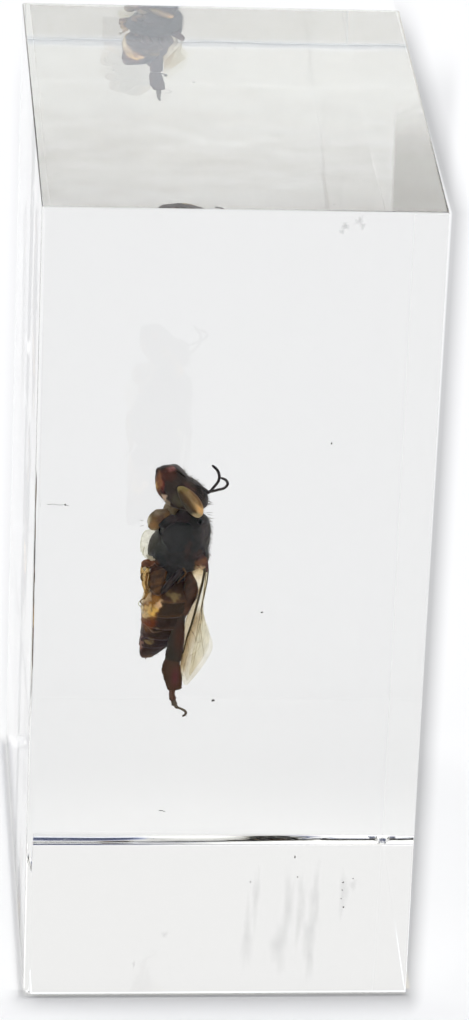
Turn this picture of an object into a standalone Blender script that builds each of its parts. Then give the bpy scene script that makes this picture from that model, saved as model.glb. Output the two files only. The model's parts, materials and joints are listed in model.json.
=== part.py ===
"""Clear casting-resin block, standing on its small end: about 25 x 35 x 55 mm, ground and
polished by hand, so that its faces are up to half a degree out of square and all its edges
are softened. Metres, +Z up, the viewing face towards -Y, the base at z = 0.
"""

import math

import bmesh
import bpy
from mathutils import Vector

for obj in list(bpy.data.objects):
    bpy.data.objects.remove(obj, do_unlink=True)

WIDTH = 0.025  # X, at mid-height
DEPTH = 0.035  # Y
HEIGHT = 0.055  # Z
EDGE_RADIUS = 0.0006

# Brings the middle of the finished block's base to the origin.
CENTRING = Vector((-0.0000887, 0.0000597, 0.0))


def ground_face(point, normal):
    return Vector(point), Vector(normal).normalized()


def lean(degrees):
    return math.tan(math.radians(degrees))


# The five faces that were ground after casting. Each is nearly along an axis and leans by
# a fraction of a degree. The sixth, the base, is the plane z = 0.
GROUND_FACES = (
    ground_face((0, -DEPTH / 2, HEIGHT / 2), (lean(0.54), -1, lean(0.31))),  # front
    ground_face((0, DEPTH / 2, HEIGHT / 2), (lean(0.10), 1, lean(-0.25))),  # back
    ground_face((-WIDTH / 2, 0, HEIGHT / 2), (-1, lean(-0.02), lean(-0.13))),  # left
    ground_face((WIDTH / 2, 0, HEIGHT / 2), (1, lean(-0.46), lean(0.23))),  # right
    ground_face((0, 0, HEIGHT), (lean(0.39), lean(-0.24), 1)),  # top
)

collection = bpy.data.collections.new("insect_in_resin_block")
bpy.context.scene.collection.children.link(collection)


def clear_resin():
    material = bpy.data.materials.new("clear_resin")
    material.use_nodes = True
    shader = material.node_tree.nodes["Principled BSDF"]
    shader.inputs["Base Color"].default_value = (0.96, 0.975, 0.98, 1.0)
    shader.inputs["Roughness"].default_value = 0.02
    shader.inputs["Metallic"].default_value = 0.0
    shader.inputs["IOR"].default_value = 1.56
    shader.inputs["Transmission Weight"].default_value = 1.0
    return material


def cast_block(name):
    """A cube a little larger than the block, cut back to the base and to each ground face."""
    bm = bmesh.new()
    bmesh.ops.create_cube(bm, size=1.0)
    bmesh.ops.scale(bm, vec=(WIDTH * 1.2, DEPTH * 1.2, HEIGHT * 1.1), verts=bm.verts)
    bmesh.ops.translate(bm, vec=(0, 0, HEIGHT * 0.55), verts=bm.verts)
    for point, normal in GROUND_FACES:
        cut = bmesh.ops.bisect_plane(
            bm,
            geom=bm.verts[:] + bm.edges[:] + bm.faces[:],
            dist=1e-7,
            plane_co=point,
            plane_no=normal,
            clear_outer=True,
        )
        rim = [g for g in cut["geom_cut"] if isinstance(g, bmesh.types.BMEdge)]
        bmesh.ops.contextual_create(bm, geom=rim)
    bmesh.ops.recalc_face_normals(bm, faces=bm.faces)
    bmesh.ops.translate(bm, vec=CENTRING, verts=bm.verts)
    mesh = bpy.data.meshes.new(name)
    bm.to_mesh(mesh)
    bm.free()
    block = bpy.data.objects.new(name, mesh)
    collection.objects.link(block)
    return block


block = cast_block("resin_block")
block.data.materials.append(clear_resin())

edges = block.modifiers.new("polished_edges", "BEVEL")
edges.width = EDGE_RADIUS
edges.segments = 6
edges.limit_method = "ANGLE"
edges.angle_limit = math.radians(30)
edges.profile = 0.5
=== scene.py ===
import json
import math

import bmesh
import bpy
import numpy as np
from mathutils import Matrix, Vector
from mathutils.bvhtree import BVHTree

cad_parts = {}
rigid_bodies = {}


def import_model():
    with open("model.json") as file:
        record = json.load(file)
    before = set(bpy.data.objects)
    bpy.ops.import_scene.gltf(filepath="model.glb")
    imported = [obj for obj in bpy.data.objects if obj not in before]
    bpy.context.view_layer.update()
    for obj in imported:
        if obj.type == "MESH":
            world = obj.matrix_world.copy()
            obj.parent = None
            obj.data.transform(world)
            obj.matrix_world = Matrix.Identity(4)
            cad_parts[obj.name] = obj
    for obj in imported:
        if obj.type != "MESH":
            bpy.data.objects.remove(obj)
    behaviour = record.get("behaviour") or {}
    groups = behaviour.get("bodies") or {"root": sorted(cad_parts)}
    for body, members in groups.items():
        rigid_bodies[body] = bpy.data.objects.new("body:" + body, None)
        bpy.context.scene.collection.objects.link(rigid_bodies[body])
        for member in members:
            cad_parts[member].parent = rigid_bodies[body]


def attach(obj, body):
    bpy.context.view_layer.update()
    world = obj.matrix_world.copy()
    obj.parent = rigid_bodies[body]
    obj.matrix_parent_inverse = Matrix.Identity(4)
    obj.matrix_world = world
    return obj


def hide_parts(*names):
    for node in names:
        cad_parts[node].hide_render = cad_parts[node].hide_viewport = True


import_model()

scene = bpy.context.scene
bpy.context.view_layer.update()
MM = 0.001


# ---------------------------------------------------------------- camera
camera_data = bpy.data.cameras.new("camera")
camera = bpy.data.objects.new("camera", camera_data)
scene.collection.objects.link(camera)
right = (0.996781, -0.069295, 0.040314)
up = (-0.006319, 0.433386, 0.901186)
ahead = (0.079919, 0.89854, -0.431554)
place = (-27.2109e-3, -321.355e-3, 180.8074e-3)
camera.matrix_world = Matrix(
    [(right[i], up[i], -ahead[i], place[i]) for i in range(3)] + [(0, 0, 0, 1)]
)
camera_data.sensor_width = 36
camera_data.lens = 192.09
camera_data.clip_start = 0.01
camera_data.clip_end = 20
scene.camera = camera

# Light goes in and out of the block many times, so the paths are long.
cycles = scene.cycles
cycles.max_bounces = 40
cycles.transmission_bounces = 32
cycles.glossy_bounces = 16
cycles.diffuse_bounces = 4
cycles.transparent_max_bounces = 32
cycles.volume_bounces = 0
cycles.caustics_reflective = True
cycles.caustics_refractive = True
cycles.blur_glossy = 0.0
cycles.sample_clamp_indirect = 6.0
cycles.use_denoising = True
scene.view_settings.view_transform = "Standard"
scene.view_settings.use_curve_mapping = True
scene.view_settings.curve_mapping.black_level = (0.042, 0.042, 0.042)
scene.view_settings.curve_mapping.update()


# ---------------------------------------------------------------- node helpers
class Nodes:
    """A short way of writing a node tree."""

    def __init__(self, tree):
        self.tree = tree

    def add(self, kind, inputs=None, **settings):
        node = self.tree.nodes.new(kind)
        for k, v in settings.items():
            setattr(node, k, v)
        for k, v in (inputs or {}).items():
            if isinstance(v, bpy.types.NodeSocket):
                self.tree.links.new(v, node.inputs[k])
            else:
                node.inputs[k].default_value = v
        return node

    def math(self, op, a, b=0.0, c=0.0):
        return self.add("ShaderNodeMath", {0: a, 1: b, 2: c}, operation=op).outputs[0]

    def step(self, x, low, high, to_low=0.0, to_high=1.0):
        return self.add(
            "ShaderNodeMapRange",
            {"Value": x, "From Min": low, "From Max": high, "To Min": to_low, "To Max": to_high},
            interpolation_type="SMOOTHSTEP",
        ).outputs["Result"]

    def mix(self, factor, a, b, blend="MIX"):
        return self.add(
            "ShaderNodeMix",
            {0: factor, 6: a, 7: b},
            data_type="RGBA",
            blend_type=blend,
        ).outputs[2]

    def noise(self, vector, scale, detail=3.0, rough=0.5):
        return self.add(
            "ShaderNodeTexNoise",
            {"Vector": vector, "Scale": scale, "Detail": detail, "Roughness": rough},
        ).outputs[0]


def new_material(name):
    material = bpy.data.materials.new(name)
    material.use_nodes = True
    n = Nodes(material.node_tree)
    shader = material.node_tree.nodes["Principled BSDF"]
    out = material.node_tree.nodes["Material Output"]
    return material, n, shader, out


# ---------------------------------------------------------------- studio
def make_studio():
    s, z = 3.0, -0.00005
    mesh = bpy.data.meshes.new("studio_floor")
    mesh.from_pydata([(-s, -s, z), (s, -s, z), (s, s, z), (-s, s, z)], [], [(0, 1, 2, 3)])
    floor = bpy.data.objects.new("studio_floor", mesh)
    scene.collection.objects.link(floor)
    material, n, shader, _ = new_material("studio_floor")
    where = n.add("ShaderNodeTexCoord").outputs["Object"]
    grain = n.noise(where, 90.0, 4.0)
    paper_and_painted_shade = n.mix(grain, (0.894, 0.894, 0.891, 1), (0.904, 0.904, 0.903, 1))
    place = n.add("ShaderNodeSeparateXYZ", {0: where})
    px, py = place.outputs["X"], place.outputs["Y"]

    def inside(value, middle, half, soft):
        off = n.math("ABSOLUTE", n.math("SUBTRACT", value, middle))
        return n.step(off, half - soft, half, 1.0, 0.0)

    def both(*masks):
        total = masks[0]
        for mask in masks[1:]:
            total = n.math("MULTIPLY", total, mask)
        return total

    # Painted shadow: the block's soft shadow, as it would fall from a lamp high in front, is painted into the paper: a
    # grey rim along its right side and its foot, and a lighter grey behind it, deeper towards its right and near its
    # foot.
    spread = n.math("DIVIDE", n.math("ADD", py, 0.3214), 0.3039)
    across = n.math("SUBTRACT", n.math("DIVIDE", n.math("ADD", px, 0.0272), spread), 0.0272)
    beside = n.math("DIVIDE", n.math("MAXIMUM", n.math("SUBTRACT", across, 0.0125), n.math("DIVIDE", n.math("SUBTRACT", px, 0.02985), spread)), 0.00122)
    before = n.math("DIVIDE", n.math("SUBTRACT", -0.0175, py), 0.0031)
    out_x, out_y = n.math("MAXIMUM", beside, 0.0), n.math("MAXIMUM", before, 0.0)
    off = n.math("SQRT", n.math("ADD", n.math("MULTIPLY", out_x, out_x), n.math("MULTIPLY", out_y, out_y)))
    rim = n.math("POWER", n.math("MAXIMUM", n.math("SUBTRACT", 1.0, off), 0.0), 1.5)
    rim = both(
        rim,
        n.step(n.math("MAXIMUM", beside, before), -0.26, -0.15),
        n.step(across, -0.0138, -0.0112),
        n.step(py, 0.155, 0.172, 1.0, 0.0),
        n.step(py, 0.0, 0.150, 1.0, 0.80),
    )
    behind = both(
        n.step(across, -0.0148, -0.0140),
        n.step(across, 0.0115, 0.0125, 1.0, 0.0),
        inside(py, 0.085, 0.072, 0.016),
    )
    depth = n.math("ADD", 0.075, n.step(across, 0.0078, 0.0112, 0.0, 0.06))
    depth = n.math("ADD", depth, n.step(py, 0.022, 0.060, 0.03, 0.0))
    paper_and_painted_shade = n.mix(n.math("MULTIPLY", behind, depth), paper_and_painted_shade, (0, 0, 0, 1))
    # painted shadow rim along the block's right side and foot
    paper_and_painted_shade = n.mix(n.math("MULTIPLY", rim, 0.40), paper_and_painted_shade, (0.0, 0.0, 0.005, 1))
    # Painted shade under the block: pale paper at the back, darker and warmer towards the front.
    under = both(inside(px, 0.0002, 0.0127, 0.0003), inside(py, 0.0002, 0.0171, 0.0004))
    painted_shade_under = n.mix(n.step(py, -0.016, 0.009), (0.690, 0.662, 0.608, 1), (0.865, 0.850, 0.818, 1))
    paper_and_painted_shade = n.mix(under, paper_and_painted_shade, painted_shade_under)
    n.tree.links.new(paper_and_painted_shade, shader.inputs["Base Color"])
    shader.inputs["Roughness"].default_value = 0.9
    shader.inputs["Specular IOR Level"].default_value = 0.0
    mesh.materials.append(material)

    world = bpy.data.worlds.new("soft_studio")
    scene.world = world
    world.use_nodes = True
    n = Nodes(world.node_tree)
    back = world.node_tree.nodes["Background"]
    way = n.add("ShaderNodeTexCoord").outputs["Generated"]

    def towards(direction):
        return n.add(
            "ShaderNodeVectorMath",
            {0: way, 1: Vector(direction).normalized()},
            operation="DOT_PRODUCT",
        ).outputs["Value"]

    split = n.add("ShaderNodeSeparateXYZ", {0: way})
    y, z = split.outputs["Y"], split.outputs["Z"]
    # A pale room, a little dimmer in front, with three soft boxes above: left, right, behind.
    light = n.step(y, -0.45, 0.15, 0.95, 0.945)
    light = n.math("MULTIPLY_ADD", n.step(towards((-0.05, 0.50, 0.86)), 0.88, 0.98), 0.42, light)
    light = n.math("MULTIPLY_ADD", n.step(towards((-0.78, 0.12, 0.62)), 0.82, 0.96), 0.95, light)
    light = n.math("MULTIPLY_ADD", n.step(towards((0.78, 0.12, 0.62)), 0.82, 0.96), 0.65, light)
    # A long low box behind, which shows in the polished top.
    strip = n.math("MULTIPLY", n.step(z, 0.26, 0.32), n.step(z, 0.364, 0.392, 1.0, 0.0))
    strip = n.math("MULTIPLY", strip, n.step(y, 0.80, 0.88))
    light = n.math("MULTIPLY_ADD", strip, 1.33, light)
    # An unlit patch of ceiling above the front, which the polished edges pick up as dark lines.
    dark = n.step(towards((0.0, -0.33, 0.944)), 0.915, 0.965)
    light = n.math("MULTIPLY", light, n.math("MULTIPLY_ADD", dark, -0.86, 1.0))
    n.tree.links.new(light, back.inputs["Strength"])
    tint = n.mix(strip, (1, 1, 1, 1), (0.94, 1.0, 1.07, 1))
    n.tree.links.new(n.mix(dark, tint, (0.7, 0.85, 1.6, 1)), back.inputs["Color"])


# ---------------------------------------------------------------- resin block
def lean(degrees):
    return math.tan(math.radians(degrees))


WIDTH, DEPTH, HEIGHT, EDGE = 0.025, 0.035, 0.055, 0.0006
CENTRING = Vector((-0.0000887, 0.0000597, 0))
GROUND_FACES = [
    ((0, -DEPTH / 2, HEIGHT / 2), (lean(0.54), -1, lean(0.31))),
    ((0, DEPTH / 2, HEIGHT / 2), (lean(0.10), 1, lean(-0.25))),
    ((-WIDTH / 2, 0, HEIGHT / 2), (-1, lean(-0.02), lean(-0.13))),
    ((WIDTH / 2, 0, HEIGHT / 2), (1, lean(-0.46), lean(0.23))),
    ((0, 0, HEIGHT), (lean(0.39), lean(-0.24), 1)),
]


def bevel_profile():
    """The hand-ground bevel along the foot of the back face: nearly flat, with rounded ends.
    Points from the back face (0, 1) to the base (1, 0)."""
    angles = [10, 34, 55, 57, 58.5, 60, 61.5, 63, 72, 84]
    lengths = [0.05, 0.06, 0.13, 0.15, 0.15, 0.15, 0.13, 0.08, 0.06, 0.04]
    y = np.cumsum([0] + [l * math.sin(math.radians(a)) for a, l in zip(angles, lengths)])
    z = np.cumsum([0] + [l * math.cos(math.radians(a)) for a, l in zip(angles, lengths)])
    return y / y[-1], 1 - z / z[-1]


def make_block():
    bm = bmesh.new()
    bmesh.ops.create_cube(bm, size=1)
    bmesh.ops.scale(bm, vec=(WIDTH * 1.2, DEPTH * 1.2, HEIGHT * 1.1), verts=bm.verts)
    bmesh.ops.translate(bm, vec=(0, 0, HEIGHT * 0.55), verts=bm.verts)
    for point, normal in GROUND_FACES:
        cut = bmesh.ops.bisect_plane(
            bm,
            geom=bm.verts[:] + bm.edges[:] + bm.faces[:],
            dist=1e-7,
            plane_co=point,
            plane_no=Vector(normal).normalized(),
            clear_outer=True,
        )
        rim = [g for g in cut["geom_cut"] if isinstance(g, bmesh.types.BMEdge)]
        bmesh.ops.contextual_create(bm, geom=rim)
    bmesh.ops.recalc_face_normals(bm, faces=bm.faces)
    bmesh.ops.translate(bm, vec=CENTRING, verts=bm.verts)
    # Each edge is softened by its own share of the widest rounding.
    share = bm.edges.layers.float.new("bevel_weight_edge")
    for e in bm.edges:
        sides = set()
        for f in e.link_faces:
            axis = max(range(3), key=lambda i: abs(f.normal[i]))
            sides.add("xyz"[axis] + ("+" if f.normal[axis] > 0 else "-"))
        e[share] = {
            frozenset(("x+", "z-")): 0.025,
            frozenset(("x+", "y+")): 0.02,
            frozenset(("x+", "y-")): 0.07,
            frozenset(("x+", "z+")): 0.24,
            frozenset(("x-", "z+")): 0.15,
            frozenset(("y-", "z+")): 0.22,
            frozenset(("y+", "z+")): 0.40,
            frozenset(("x-", "y+")): 0.50,
            frozenset(("x-", "y-")): 0.70,
            frozenset(("y-", "z-")): 0.45,
        }.get(frozenset(sides), 1.0)
    plain = bpy.data.meshes.new("plain_block")
    bm.to_mesh(plain)
    bm.free()
    rough_block = bpy.data.objects.new("plain_block", plain)
    scene.collection.objects.link(rough_block)
    softened = rough_block.modifiers.new("softened_edges", "BEVEL")
    softened.width = EDGE
    softened.segments = 10
    softened.limit_method = "WEIGHT"
    softened.profile = 0.5
    softened.use_clamp_overlap = False
    seen = rough_block.evaluated_get(bpy.context.evaluated_depsgraph_get())
    bm = bmesh.new()
    bm.from_mesh(seen.to_mesh())
    seen.to_mesh_clear()
    bpy.data.objects.remove(rough_block)
    bpy.data.meshes.remove(plain)
    # The edge at the foot of the back is ground wider, most at the left.
    py, pz = bevel_profile()
    back_point = Vector(GROUND_FACES[1][0]) + CENTRING
    back_normal = Vector(GROUND_FACES[1][1]).normalized()
    for v in bm.verts:
        wall = back_point.y - (
            (v.co.x - back_point.x) * back_normal.x + (v.co.z - back_point.z) * back_normal.z
        ) / back_normal.y
        ey, ez = v.co.y - (wall - EDGE), EDGE - v.co.z
        if ey < -1e-7 or ez < -1e-7:
            continue
        side = min(1.0, max(0.0, (0.0125 - abs(v.co.x)) / EDGE))
        if side <= 0:
            continue
        s = math.atan2(max(ez, 0), max(ey, 0)) / (math.pi / 2) * 10
        y, z = np.interp(s, range(11), py), np.interp(s, range(11), pz)
        tall = 0.00050 - 0.00017 * v.co.x / 0.0125
        deep = tall * 1.62
        goal = Vector((v.co.x, wall - deep * y, tall * z))
        v.co = v.co.lerp(goal, side)
    bm.normal_update()
    flat = {f.index for f in bm.faces if f.calc_area() > 1e-5}
    normals = []
    for f in bm.faces:
        for v in f.verts:
            wide = [g for g in v.link_faces if g.index in flat]
            normals.append(tuple(wide[0].normal if wide else v.normal))
        f.smooth = True
    mesh = bpy.data.meshes.new("cast_block")
    bm.to_mesh(mesh)
    bm.free()
    mesh.normals_split_custom_set(normals)
    block = bpy.data.objects.new("cast_block", mesh)
    scene.collection.objects.link(block)

    material, n, shader, out = new_material("clear_cast_resin")
    shader.inputs["Base Color"].default_value = (1, 1, 1, 1)
    shader.inputs["Roughness"].default_value = 0.0
    shader.inputs["IOR"].default_value = 1.56
    shader.inputs["Transmission Weight"].default_value = 1.0
    # The polished faces are very slightly wavy.
    where = n.add("ShaderNodeTexCoord").outputs["Object"]
    wave = n.noise(where, 140.0, 2.0)
    bump = n.add("ShaderNodeBump", {"Height": wave, "Strength": 0.02, "Distance": 0.0004})
    n.tree.links.new(bump.outputs[0], shader.inputs["Normal"])
    body = n.add("ShaderNodeVolumeAbsorption")
    body.inputs["Color"].default_value = (0.945, 0.945, 0.938, 1)
    body.inputs["Density"].default_value = 40.0
    n.tree.links.new(body.outputs[0], out.inputs["Volume"])
    mesh.materials.append(material)
    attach(block, "root")
    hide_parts("resin_block")
    return block


def make_haze_and_painted_shade():
    """Fine polishing haze on the top face, with painted shade towards its right front corner and along its back."""
    point, normal = GROUND_FACES[4]
    point, normal = Vector(point) + CENTRING, Vector(normal).normalized()
    x0, x1, y0, y1 = -0.01215, 0.01215, -0.01705, 0.01715
    xs, ys = np.linspace(x0, x1, 13), np.linspace(y0, y1, 17)
    sheet = bmesh.new()
    layers = []
    for lift in (0.000004, 0.000008):
        layers.append([[sheet.verts.new((x, y, point.z - ((x - point.x) * normal.x + (y - point.y) * normal.y) / normal.z + lift))
                        for x in xs] for y in ys])
    low, high = layers
    for i in range(16):
        for j in range(12):
            sheet.faces.new((high[i][j], high[i][j + 1], high[i + 1][j + 1], high[i + 1][j]))
            sheet.faces.new((low[i][j], low[i + 1][j], low[i + 1][j + 1], low[i][j + 1]))
    rim = [(0, j) for j in range(12)] + [(i, 12) for i in range(16)] + [(16, j) for j in range(12, 0, -1)] + [(i, 0) for i in range(16, 0, -1)]
    for a, b in zip(rim, rim[1:] + rim[:1]):
        sheet.faces.new((low[a[0]][a[1]], low[b[0]][b[1]], high[b[0]][b[1]], high[a[0]][a[1]]))
    mesh = bpy.data.meshes.new("polishing_haze_and_painted_shade")
    sheet.to_mesh(mesh)
    sheet.free()
    piece = bpy.data.objects.new("polishing_haze_and_painted_shade", mesh)
    scene.collection.objects.link(piece)
    material, n, shader, out = new_material("polishing_haze_and_painted_shade")
    where = n.add("ShaderNodeTexCoord").outputs["Object"]
    cloud = n.step(n.noise(where, 95.0, 3.0, 0.5), 0.35, 0.72)
    streak = n.step(n.noise(n.add("ShaderNodeMapping", {"Vector": where, "Scale": (1.0, 0.35, 1.0)}).outputs[0], 420.0, 2.0, 0.5), 0.4, 0.8)
    amount = n.math("ADD", n.math("MULTIPLY_ADD", cloud, 0.018, 0.022), n.math("MULTIPLY", streak, 0.004))
    # painted shade: a darker veil towards the right front corner
    place = n.add("ShaderNodeSeparateXYZ", {0: where})
    slant = n.math("MULTIPLY_ADD", place.outputs["Y"], -0.11, place.outputs["X"])
    haze_painted_shade = n.math("MULTIPLY", n.step(slant, 0.01035, 0.01065), n.step(place.outputs["Y"], -0.0070, 0.0015, 1.0, 0.0))
    haze_painted_shade = n.math("MULTIPLY", haze_painted_shade, n.step(cloud, 0.0, 1.0, 0.85, 1.0))
    amount = n.math("MULTIPLY_ADD", haze_painted_shade, 0.15, amount)
    # and a little painted shade along the back
    far = n.step(place.outputs["Y"], 0.0102, 0.0118)
    amount = n.math("MULTIPLY_ADD", far, 0.045, amount)
    haze_painted_shade = n.math("MAXIMUM", haze_painted_shade, n.math("MULTIPLY", far, 0.75))
    shader.inputs["Roughness"].default_value = 0.9
    shader.inputs["Specular IOR Level"].default_value = 0.0
    n.tree.links.new(n.mix(haze_painted_shade, n.mix(cloud, (0.86, 0.85, 0.83, 1), (0.74, 0.73, 0.70, 1)), (0.33, 0.315, 0.29, 1)), shader.inputs["Base Color"])
    clear = n.add("ShaderNodeBsdfTransparent", {"Color": (1, 1, 1, 1)})
    both = n.add("ShaderNodeMixShader", {0: amount, 1: clear.outputs[0], 2: shader.outputs[0]})
    n.tree.links.new(both.outputs[0], out.inputs["Surface"])
    mesh.materials.append(material)
    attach(piece, "root")
    return piece


# ---------------------------------------------------------------- mesh kit
rng = np.random.default_rng(20)
_waves = [
    (rng.normal(size=3), rng.uniform(0, 2 * math.pi), 1.0) for _ in range(14)
]


def wobble(points, size, seed=0):
    """Smooth pseudo-random values, about -1 to 1, that vary over the given size (mm)."""
    r = np.random.default_rng(seed)
    total = np.zeros(len(points))
    for i in range(10):
        k = r.normal(size=3)
        k *= 2 * math.pi / (size * np.linalg.norm(k)) * r.uniform(0.6, 1.7)
        total += np.sin(points @ k + r.uniform(0, 2 * math.pi))
    return total / 3.2


def forwards(v):
    """How far the bee's axis leans towards the front, mm."""
    return np.clip((v - 650) * 0.0122 - 0.56, -2.9, 0)


def P(u, v, y):
    """A point of the bee in mm. u (to the right) and v (down) are units of a side drawing
    of it, about 0.065 and 0.072 mm; y is the depth in mm, from an axis that leans forwards at
    the head."""
    u, v, y = np.broadcast_arrays(np.asarray(u, float), np.asarray(v, float), np.asarray(y, float))
    y = y + forwards(v)
    x = -2.6120 + 0.0431 * y + (0.064949 + 0.000123 * y) * (u - 180) + 0.00266 * (v - 590)
    z = 23.8698 - 0.3003 * y + 0.00029 * (u - 180) - (0.072065 + 0.00012 * y) * (v - 590)
    return np.stack([x, y, z], axis=-1)


def smooth(points, count):
    """count points along the smooth curve through the given ones. Columns after the third
    (widths) are carried along."""
    p = np.asarray(points, float)
    d = np.r_[0, np.cumsum(np.linalg.norm(np.diff(p[:, :3], axis=0), axis=1))]
    t = np.linspace(0, d[-1], count)
    m = np.zeros_like(p)
    m[1:-1] = (p[2:] - p[:-2]) / (d[2:] - d[:-2])[:, None]
    m[0] = (p[1] - p[0]) / (d[1] - d[0])
    m[-1] = (p[-1] - p[-2]) / (d[-1] - d[-2])
    i = np.clip(np.searchsorted(d, t, side="right") - 1, 0, len(p) - 2)
    h = (d[i + 1] - d[i])[:, None]
    s = (t - d[i])[:, None] / h
    return (
        (2 * s**3 - 3 * s**2 + 1) * p[i]
        + (s**3 - 2 * s**2 + s) * h * m[i]
        + (3 * s**2 - 2 * s**3) * p[i + 1]
        + (s**3 - s**2) * h * m[i + 1]
    )


class Shape:
    """Collects closed bodies, in mm, with colours at each vertex, into one mesh."""

    def __init__(self):
        self.points, self.faces, self.skin, self.glow, self.thin, self.clear = [], [], [], [], [], []
        self.count = 0

    def add(self, points, faces, skin, glow=(0.3, 0.12, 0.05), thin=0.0, clear=0.0):
        k = len(points)
        self.points.append(points)
        self.faces += [[i + self.count for i in f] for f in faces]
        for store, value, width in (
            (self.skin, skin, 3),
            (self.glow, glow, 3),
            (self.thin, thin, 1),
            (self.clear, clear, 1),
        ):
            value = value(points) if callable(value) else value
            store.append(np.broadcast_to(np.asarray(value, float).reshape(-1, width), (k, width)))
        self.count += k
        return self

    def tube(self, path, sides=12, ref=(0, 1, 0), round_ends=1.0, rough=0.0, seed=0, **paint):
        """path: rows of x, y, z, half-width across ref, half-width along ref (mm)."""
        path = np.asarray(path, float)
        centre, ra, rb = path[:, :3], path[:, 3].copy(), path[:, 4].copy()
        t = np.gradient(centre, axis=0)
        t /= np.linalg.norm(t, axis=1)[:, None]
        rings_c, rings_a, rings_b, rings_t = [], [], [], []
        if round_ends:
            for alpha in (80, 60, 35):
                k = math.radians(alpha)
                r = min(ra[0], rb[0]) * round_ends
                rings_c.append(centre[0] - t[0] * r * math.sin(k))
                rings_a.append(ra[0] * math.cos(k))
                rings_b.append(rb[0] * math.cos(k))
                rings_t.append(t[0])
        rings_c += list(centre)
        rings_a += list(ra)
        rings_b += list(rb)
        rings_t += list(t)
        if round_ends:
            for alpha in (35, 60, 80):
                k = math.radians(alpha)
                r = min(ra[-1], rb[-1]) * round_ends
                rings_c.append(centre[-1] + t[-1] * r * math.sin(k))
                rings_a.append(ra[-1] * math.cos(k))
                rings_b.append(rb[-1] * math.cos(k))
                rings_t.append(t[-1])
        c, a, b, t = (np.array(q) for q in (rings_c, rings_a, rings_b, rings_t))
        ref = np.asarray(ref, float)
        bi = ref - (t @ ref)[:, None] * t
        bi /= np.maximum(np.linalg.norm(bi, axis=1), 1e-9)[:, None]
        no = np.cross(bi, t)
        turn = np.linspace(0, 2 * math.pi, sides, endpoint=False)
        ring = (
            c[:, None]
            + (a[:, None] * np.cos(turn))[..., None] * no[:, None]
            + (b[:, None] * np.sin(turn))[..., None] * bi[:, None]
        )
        if rough:
            flat = ring.reshape(-1, 3)
            push = wobble(flat, 0.9, seed) * 0.6 + wobble(flat, 0.3, seed + 1) * 0.4
            out = flat - np.repeat(c, sides, axis=0)
            ring = (flat + out * (push * rough)[:, None]).reshape(ring.shape)
        n = len(c)
        points = np.vstack([ring.reshape(-1, 3), c[0], c[-1]])
        faces = []
        for i in range(n - 1):
            for j in range(sides):
                k = (j + 1) % sides
                faces.append((i * sides + j, (i + 1) * sides + j, (i + 1) * sides + k, i * sides + k))
        for j in range(sides):
            k = (j + 1) % sides
            faces.append((n * sides, j, k))
            faces.append((n * sides + 1, (n - 1) * sides + k, (n - 1) * sides + j))
        return self.add(points, faces, **paint)

    def loft(self, rows, sides=12, ends=(1.0, 1.0), rough=0.0, seed=0, **paint):
        """rows: centre (3), half-width as a vector (3), half-depth along y (mm)."""
        rows = np.asarray(rows, float)
        c, half, depth = rows[:, :3], rows[:, 3:6], rows[:, 6]
        rings = [(c[i], half[i], depth[i]) for i in range(len(rows))]
        for end, share in ((0, ends[0]), (-1, ends[1])):
            way = c[0] - c[1] if end == 0 else c[-1] - c[-2]
            way = way / np.linalg.norm(way)
            r = min(np.linalg.norm(half[end]), depth[end]) * share
            for alpha in (35, 60, 80):
                k = math.radians(alpha)
                extra = (c[end] + way * r * math.sin(k), half[end] * math.cos(k), depth[end] * math.cos(k))
                rings = [extra] + rings if end == 0 else rings + [extra]
        turn = np.linspace(0, 2 * math.pi, sides, endpoint=False)
        ring = np.array([
            q + np.cos(turn)[:, None] * h + np.sin(turn)[:, None] * np.array((0, w, 0)) for q, h, w in rings
        ])
        n = len(ring)
        flat = ring.reshape(-1, 3)
        if rough:
            push = wobble(flat, 0.9, seed) * 0.6 + wobble(flat, 0.3, seed + 1) * 0.4
            out = flat - np.repeat(np.array([q for q, _, _ in rings]), sides, axis=0)
            flat = flat + out * (push * rough)[:, None]
        points = np.vstack([flat, rings[0][0], rings[-1][0]])
        faces = []
        for i in range(n - 1):
            for j in range(sides):
                k = (j + 1) % sides
                faces.append((i * sides + j, (i + 1) * sides + j, (i + 1) * sides + k, i * sides + k))
        for j in range(sides):
            k = (j + 1) % sides
            faces.append((n * sides, j, k))
            faces.append((n * sides + 1, (n - 1) * sides + k, (n - 1) * sides + j))
        return self.add(points, faces, **paint)

    def blob(self, centre, radii, axes=None, rough=0.0, seed=0, level=3, **paint):
        bm = bmesh.new()
        bmesh.ops.create_icosphere(bm, subdivisions=level, radius=1)
        points = np.array([v.co[:] for v in bm.verts])
        faces = [[v.index for v in f.verts] for f in bm.faces]
        bm.free()
        if rough:
            points = points * (1 + rough * wobble(points, 1.1, seed))[:, None]
        points = points * np.asarray(radii, float)
        if axes is not None:
            points = points @ np.asarray(axes, float)
        return self.add(points + np.asarray(centre, float), faces, **paint)

    def build(self, name, material, thin_material=None, smooth_shading=True):
        points = np.vstack(self.points) * MM
        mesh = bpy.data.meshes.new(name)
        mesh.from_pydata(points.tolist(), [], self.faces)
        mesh.validate()
        if smooth_shading:
            mesh.shade_smooth()
        if len(mesh.vertices) == len(points):
            for attribute, store in (("skin", self.skin), ("glow", self.glow)):
                data = np.ones((len(points), 4), np.float32)
                data[:, :3] = np.vstack(store)
                mesh.attributes.new(attribute, "FLOAT_COLOR", "POINT").data.foreach_set("color", data.ravel())
            for attribute, store in (("thin", self.thin), ("clear", self.clear)):
                mesh.attributes.new(attribute, "FLOAT", "POINT").data.foreach_set(
                    "value", np.vstack(store).astype(np.float32).ravel()
                )
        piece = bpy.data.objects.new(name, mesh)
        scene.collection.objects.link(piece)
        mesh.materials.append(material)
        if thin_material:
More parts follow.
